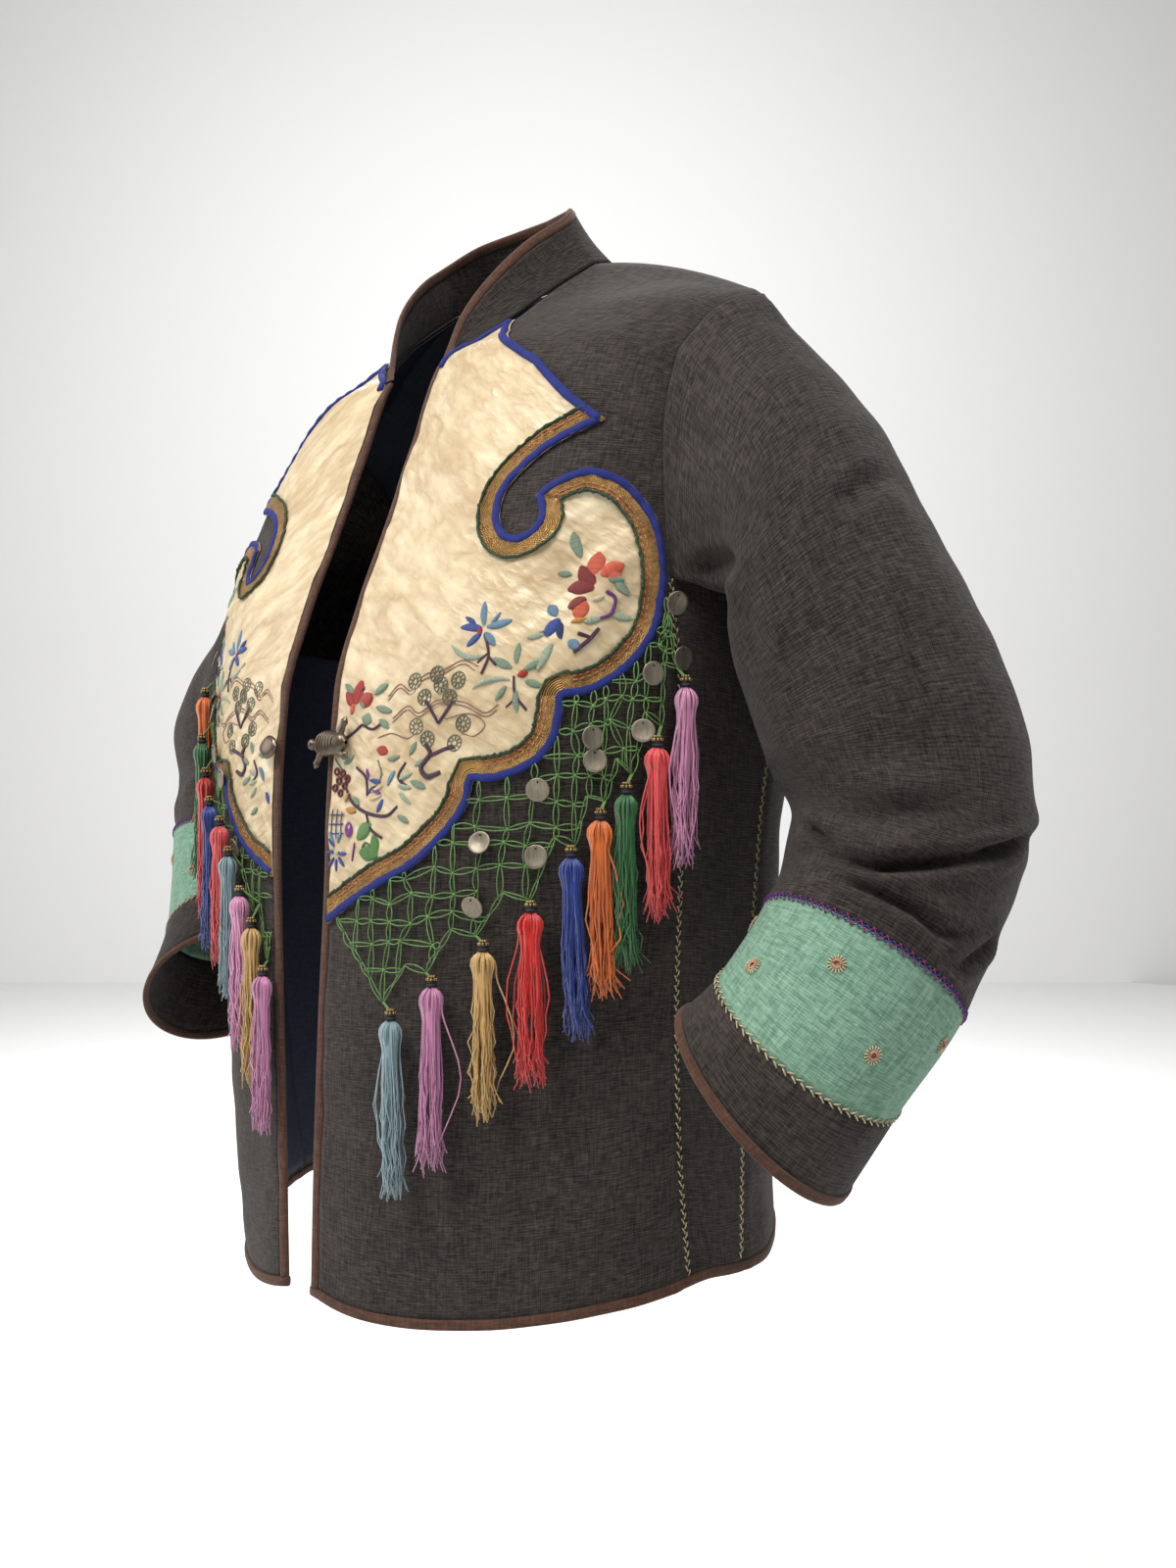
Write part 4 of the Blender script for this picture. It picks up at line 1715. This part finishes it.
# Satin-stitch pads, six numbers each: foot of the petal or leaf (mm in and down), way it
# points in degrees (0 to the side seam, 90 down), length, width and how far it bends.
PADS = {
    "steel blue": """
        100 240 -98 13 4.6 10  102 241 -12 14 5 -14  101 244 48 10 4.4 10  104 240 -52 8 2.6 0
        139 237 -130 8 6.4 0  147 251 40 7 6 20  45 322 -60 9 3.2 20  8 352 -60 7 2.4 0
        5 352 -120 7 2.4 0""",
    "royal blue": """
        99 242 186 13 5 -18  99 244 140 10 4.6 10  95 239 -150 8 3 0  141 239 120 11 7 -30
        40 320 190 9 3 0  42 329 120 8 3.4 0  8 358 0 7 2.4 0  8 360 45 7 2.4 0  6 361 90 7 2.4 0
        4 360 135 7 2.4 0  4 357 180 6 2.4 0  5 354 -135 6 2.4 0""",
    "deep blue": """
        142 241 80 9 4.4 -30  36 322 150 7 3 0""",
    "red": """
        98 241 90 4.4 3.2 0  15 276 -70 13 9.6 0  19 276 -18 11 9 0  13 277 -128 10 7 0
        122 268 -20 5.6 4.6 0  36 302 15 8 6 0""",
    "crimson": """
        156 220 -128 14 8.4 30  156 223 180 14 9 -40  153 228 150 10 7.4 0  17 270 -20 6 3.4 20""",
    "coral": """
        154 215 -84 13 10 0  158 215 -30 12 9.4 0  152 229 100 10.5 9 0  161 213 30 8 7 0
        14 276 110 6 3.6 0""",
    "violet": """
        40 326 200 8 2.4 0  17 341 90 8 6.4 0  30 318 -100 6 2.4 0""",
    "pale green": """
        104 256 200 24 3.4 68  134 247 172 9 3.8 0  139 252 116 15 5.4 -10  166 236 12 12 5.2 -16
        153 241 -12 9 4.4 10  118 270 168 22 3.2 -50  52 322 12 9 3.4 0  53 326 40 9 3.2 0
        52 319 -20 9 3.2 0""",
    "sea green": """
        146 204 -112 15 6.4 16  143 214 190 8 4.2 0  166 218 42 11 5.4 -16  162 217 4 8 5.2 0
        119 264 -150 12 4.8 14  121 262 -88 11 4.2 10  125 265 -28 11 4.4 -10  126 271 22 10 4.2 10
        121 275 84 12 4.4 -12  116 273 130 9 3.8 0  20 275 45 5 4.2 0  22 284 20 8 7.6 0
        31 272 -24 11 4.8 12  33 279 14 12 4.8 -10  13 270 -146 10 4.2 10  36 286 34 9 4.2 0
        10 309 -30 9 4 0  62 312 -24 9 4 0  60 320 24 10 4.2 0  44 308 -10 8 3.4 0
        58 306 -60 8 3.6 0  24 332 -140 7 3.4 0  52 338 30 8 3.8 0""",
    "leaf green": """
        24 350 -40 13 9 0  26 357 10 14 9.4 0  36 348 80 12 7 0""",
    "cream": """
        41 322 160 9 2.4 0  41 327 165 9 2.2 0  156 229 -20 6 3.2 0  5 357 0 3.4 3.4 0
        18 342 90 4 2.6 0""",
    "gold": """
        147 241 -14 8 3.4 0  14 334 10 8 4 0  12 330 -60 6 2.2 0"""}
# Stems and outlines: the thread's half-width, then the points it passes, mm in and down.
STEMS = {
    "dark purple": """
        0.9 101 245 104 252 105 258 102 266;  0.8 105 257 110 262;  0.7 105 255 99 260;
        0.9 120 268 121 278 127 286;  0.7 122 279 116 284;  1.4 161 244 157 250 150 257;
        1.1 157 249 151 247;  0.9 22 288 14 293 6 296;  0.8 22 288 31 291 38 288;
        1 76 290 71 282 68 278;  1 76 290 81 284 85 279;  1.5 78 316 70 318 66 313 71 306 68 301;
        1.1 71 307 80 304 86 303;  1 12 322 18 330 30 336 44 338 52 333;  0.9 30 336 34 345 42 350;
        0.8 20 311 28 317 30 327;  0.9 60 324 52 318 56 310""",
    "violet": """
        1.2 162 224 167 228 166 236 161 239;  0.7 22 352 20 362""",
    "brown pink": """
        0.34 42 274 50 268 58 272 66 264 78 262 90 258 100 262;
        0.34 42 276 50 270 58 274 66 266.4 78 264 90 260 98 264;
        0.34 46 286 56 280 64 284 76 278 92 280 104 286 112 282;
        0.34 46 288 56 282 64 286 76 280 92 282 104 288 111 285;
        0.34 80 288 95 286 104 292 98 298 90 296;  0.34 36 296 46 294 56 297 63 294""",
    "sea green": """
        0.6 37 308 40 316 36 322;  0.5 136 244 130 247;  0.6 8 312 2 306""",
    "royal blue": """
        0.4 3 334 3 350;  0.4 7 334 7 350;  0.4 11 335 11 349;  0.4 1 337 13 337;  0.4 1 342 13 342;
        0.4 1 347 13 347""",
    "leaf green": """
        0.7 30 352 34 354 31 357 28 355 30 352"""}
PINES = [(60, 267), (74, 264), (88, 268), (67, 276), (83, 277), (62, 291), (91, 291), (69, 298), (86, 301),
         (77, 270)]
BERRIES = [(4, 313), (9, 314), (13, 317), (6, 318), (11, 321), (3, 322), (8, 325)]


def pad_mesh(side, rows):
    """Domed petals: a leaf outline about a bending middle line, stitched across."""
    rows = np.array(rows, dtype=float)
    t = np.linspace(0, 1, 9)[None, :, None]
    s = np.linspace(-1, 1, 7)[None, None, :]
    x, y, turn, long, wide, bend = (rows[:, k][:, None, None] for k in range(6))
    way = np.radians(turn + bend * (t - 0.5))
    none = np.zeros_like(way[:, :1])
    cos_sum, sin_sum = (np.concatenate([none, np.cumsum(part[:, :-1], axis=1)], axis=1) / 8
                        for part in (np.cos(way), np.sin(way)))
    plump = np.sin(np.pi * np.clip(0.04 + 0.93 * t, 0, 1)) ** 0.62
    half = 0.5 * wide * plump
    run = x + long * cos_sum - s * half * np.sin(way)
    drop = y + long * sin_sum + s * half * np.cos(way)
    lift = LIFT + (0.25 + 0.55 * plump) * np.sqrt(np.maximum(1 - s * s, 0.0)) - 0.35 * (np.abs(s) > 0.99)
    run, drop, lift = np.broadcast_arrays(run, drop, lift)
    cells = grid_faces(9, 7, turned=side == "right")
    cells = (cells[None] + 63 * np.arange(len(rows))[:, None, None]).reshape(-1, 4)
    uv = paired_up(s * half, t * long + x) / 1000
    flat = shift_right(np.stack([run, drop], axis=-1), side)
    return laid(side, flat[..., 0], flat[..., 1], lift).reshape(-1, 3), cells, uv


def on_satin(side, place):
    moved = shift_right(np.array([[place[0], place[1]]], dtype=float), side)[0]
    return moved[0] > 6.5 if side == "right" else True


def stem_path(side, points):
    points = np.array(points, dtype=float)
    knots = np.arange(len(points), dtype=float)
    at = np.linspace(0, knots[-1], 7 * (len(points) - 1) + 1)
    line = flowing(knots, points, at) if len(points) > 2 else points_at(at, knots, points)
    line = shift_right(line, side)
    return laid(side, line[:, 0], line[:, 1], LIFT + 0.1)


def circle(side, centre, radius, lift, steps=14):
    u = np.linspace(0, 2 * np.pi, steps + 1)
    flat = shift_right(np.array(centre)[None] + radius * np.stack([np.cos(u), np.sin(u)], axis=1), side)
    return laid(side, flat[:, 0], flat[:, 1], lift)


def spokes(side, centre, inner, outer, count, lift):
    made = []
    for u in 2 * np.pi * np.arange(count) / count:
        flat = np.array(centre) + np.outer([inner, outer], [np.cos(u), np.sin(u)])
        flat = shift_right(flat, side)
        made.append(laid(side, flat[:, 0], flat[:, 1], lift))
    return made


for side in SIDES:
    for name, rows in PADS.items():
        rows = np.array(rows.split(), dtype=float).reshape(-1, 6)
        rows = [row for row in rows if on_satin(side, row)]
        if not rows:
            continue
        points, cells, uv = pad_mesh(side, rows)
        piece = add_mesh("%s_petals_%s" % (name.replace(" ", "_"), side), points, cells,
                         EMBROIDERY[name], uv)
    for name, rows in STEMS.items():
        rows = [np.array(row.split(), dtype=float) for row in rows.split(";")]
        rows = [(row[1:].reshape(-1, 2), row[0]) for row in rows]
        rows = [row for row in rows if all(on_satin(side, p) for p in row[0])]
        paths = [stem_path(side, points) for points, _ in rows]
        if not paths:
            continue
        sizes = [np.full(len(p), half / 1000) * (0.75 + 0.25 * np.sin(np.linspace(0.3, 2.8, len(p))))
                 for p, (_, half) in zip(paths, rows)]
        out = unit(laid(side, 60.0, 280.0, 1.0) - laid(side, 60.0, 280.0, 0.0))
        piece = rods("%s_stems_%s" % (name.replace(" ", "_"), side), paths, sizes, EMBROIDERY[name],
                     6, 0.6, [np.broadcast_to(out, p.shape) for p in paths])
    rings, seeds = [], []
    for place in [p for p in PINES if on_satin(side, p)]:
        rings += [circle(side, place, 4.3, LIFT), circle(side, place, 1.6, LIFT)]
        rings += spokes(side, place, 1.8, 4.2, 9, LIFT)
    piece = rods("pine_rosettes_" + side, rings, 0.00036, EMBROIDERY["grey green"], 4)
    for place in [p for p in BERRIES if on_satin(side, p)]:
        seeds.append(circle(side, place, 1.7, LIFT + 0.1, 10))
    if seeds:
        piece = rods("berries_" + side, seeds, 0.0008, EMBROIDERY["crimson"], 5)
    ring = PANEL[side]["whole"]
    ahead = np.roll(ring, -1, axis=0)

# ------------------------------------------------------------------ floor
bpy.ops.mesh.primitive_plane_add(size=12, location=(0, 0, -1.02))
floor = bpy.context.object
floor.name = "floor"
pale = bpy.data.materials.new("pale floor")
pale.use_nodes = True
pale.node_tree.nodes["Principled BSDF"].inputs["Base Color"].default_value = (0.80, 0.80, 0.80, 1.0)
pale.node_tree.nodes["Principled BSDF"].inputs["Roughness"].default_value = 0.9
floor.data.materials.append(pale)
bpy.ops.mesh.primitive_plane_add(size=14, location=(-4.2, 4.0, 2.0),
                                 rotation=(np.pi / 2, 0, np.radians(47)))
wall = bpy.context.object
wall.name = "backdrop"
wall.data.materials.append(floor.data.materials[0])
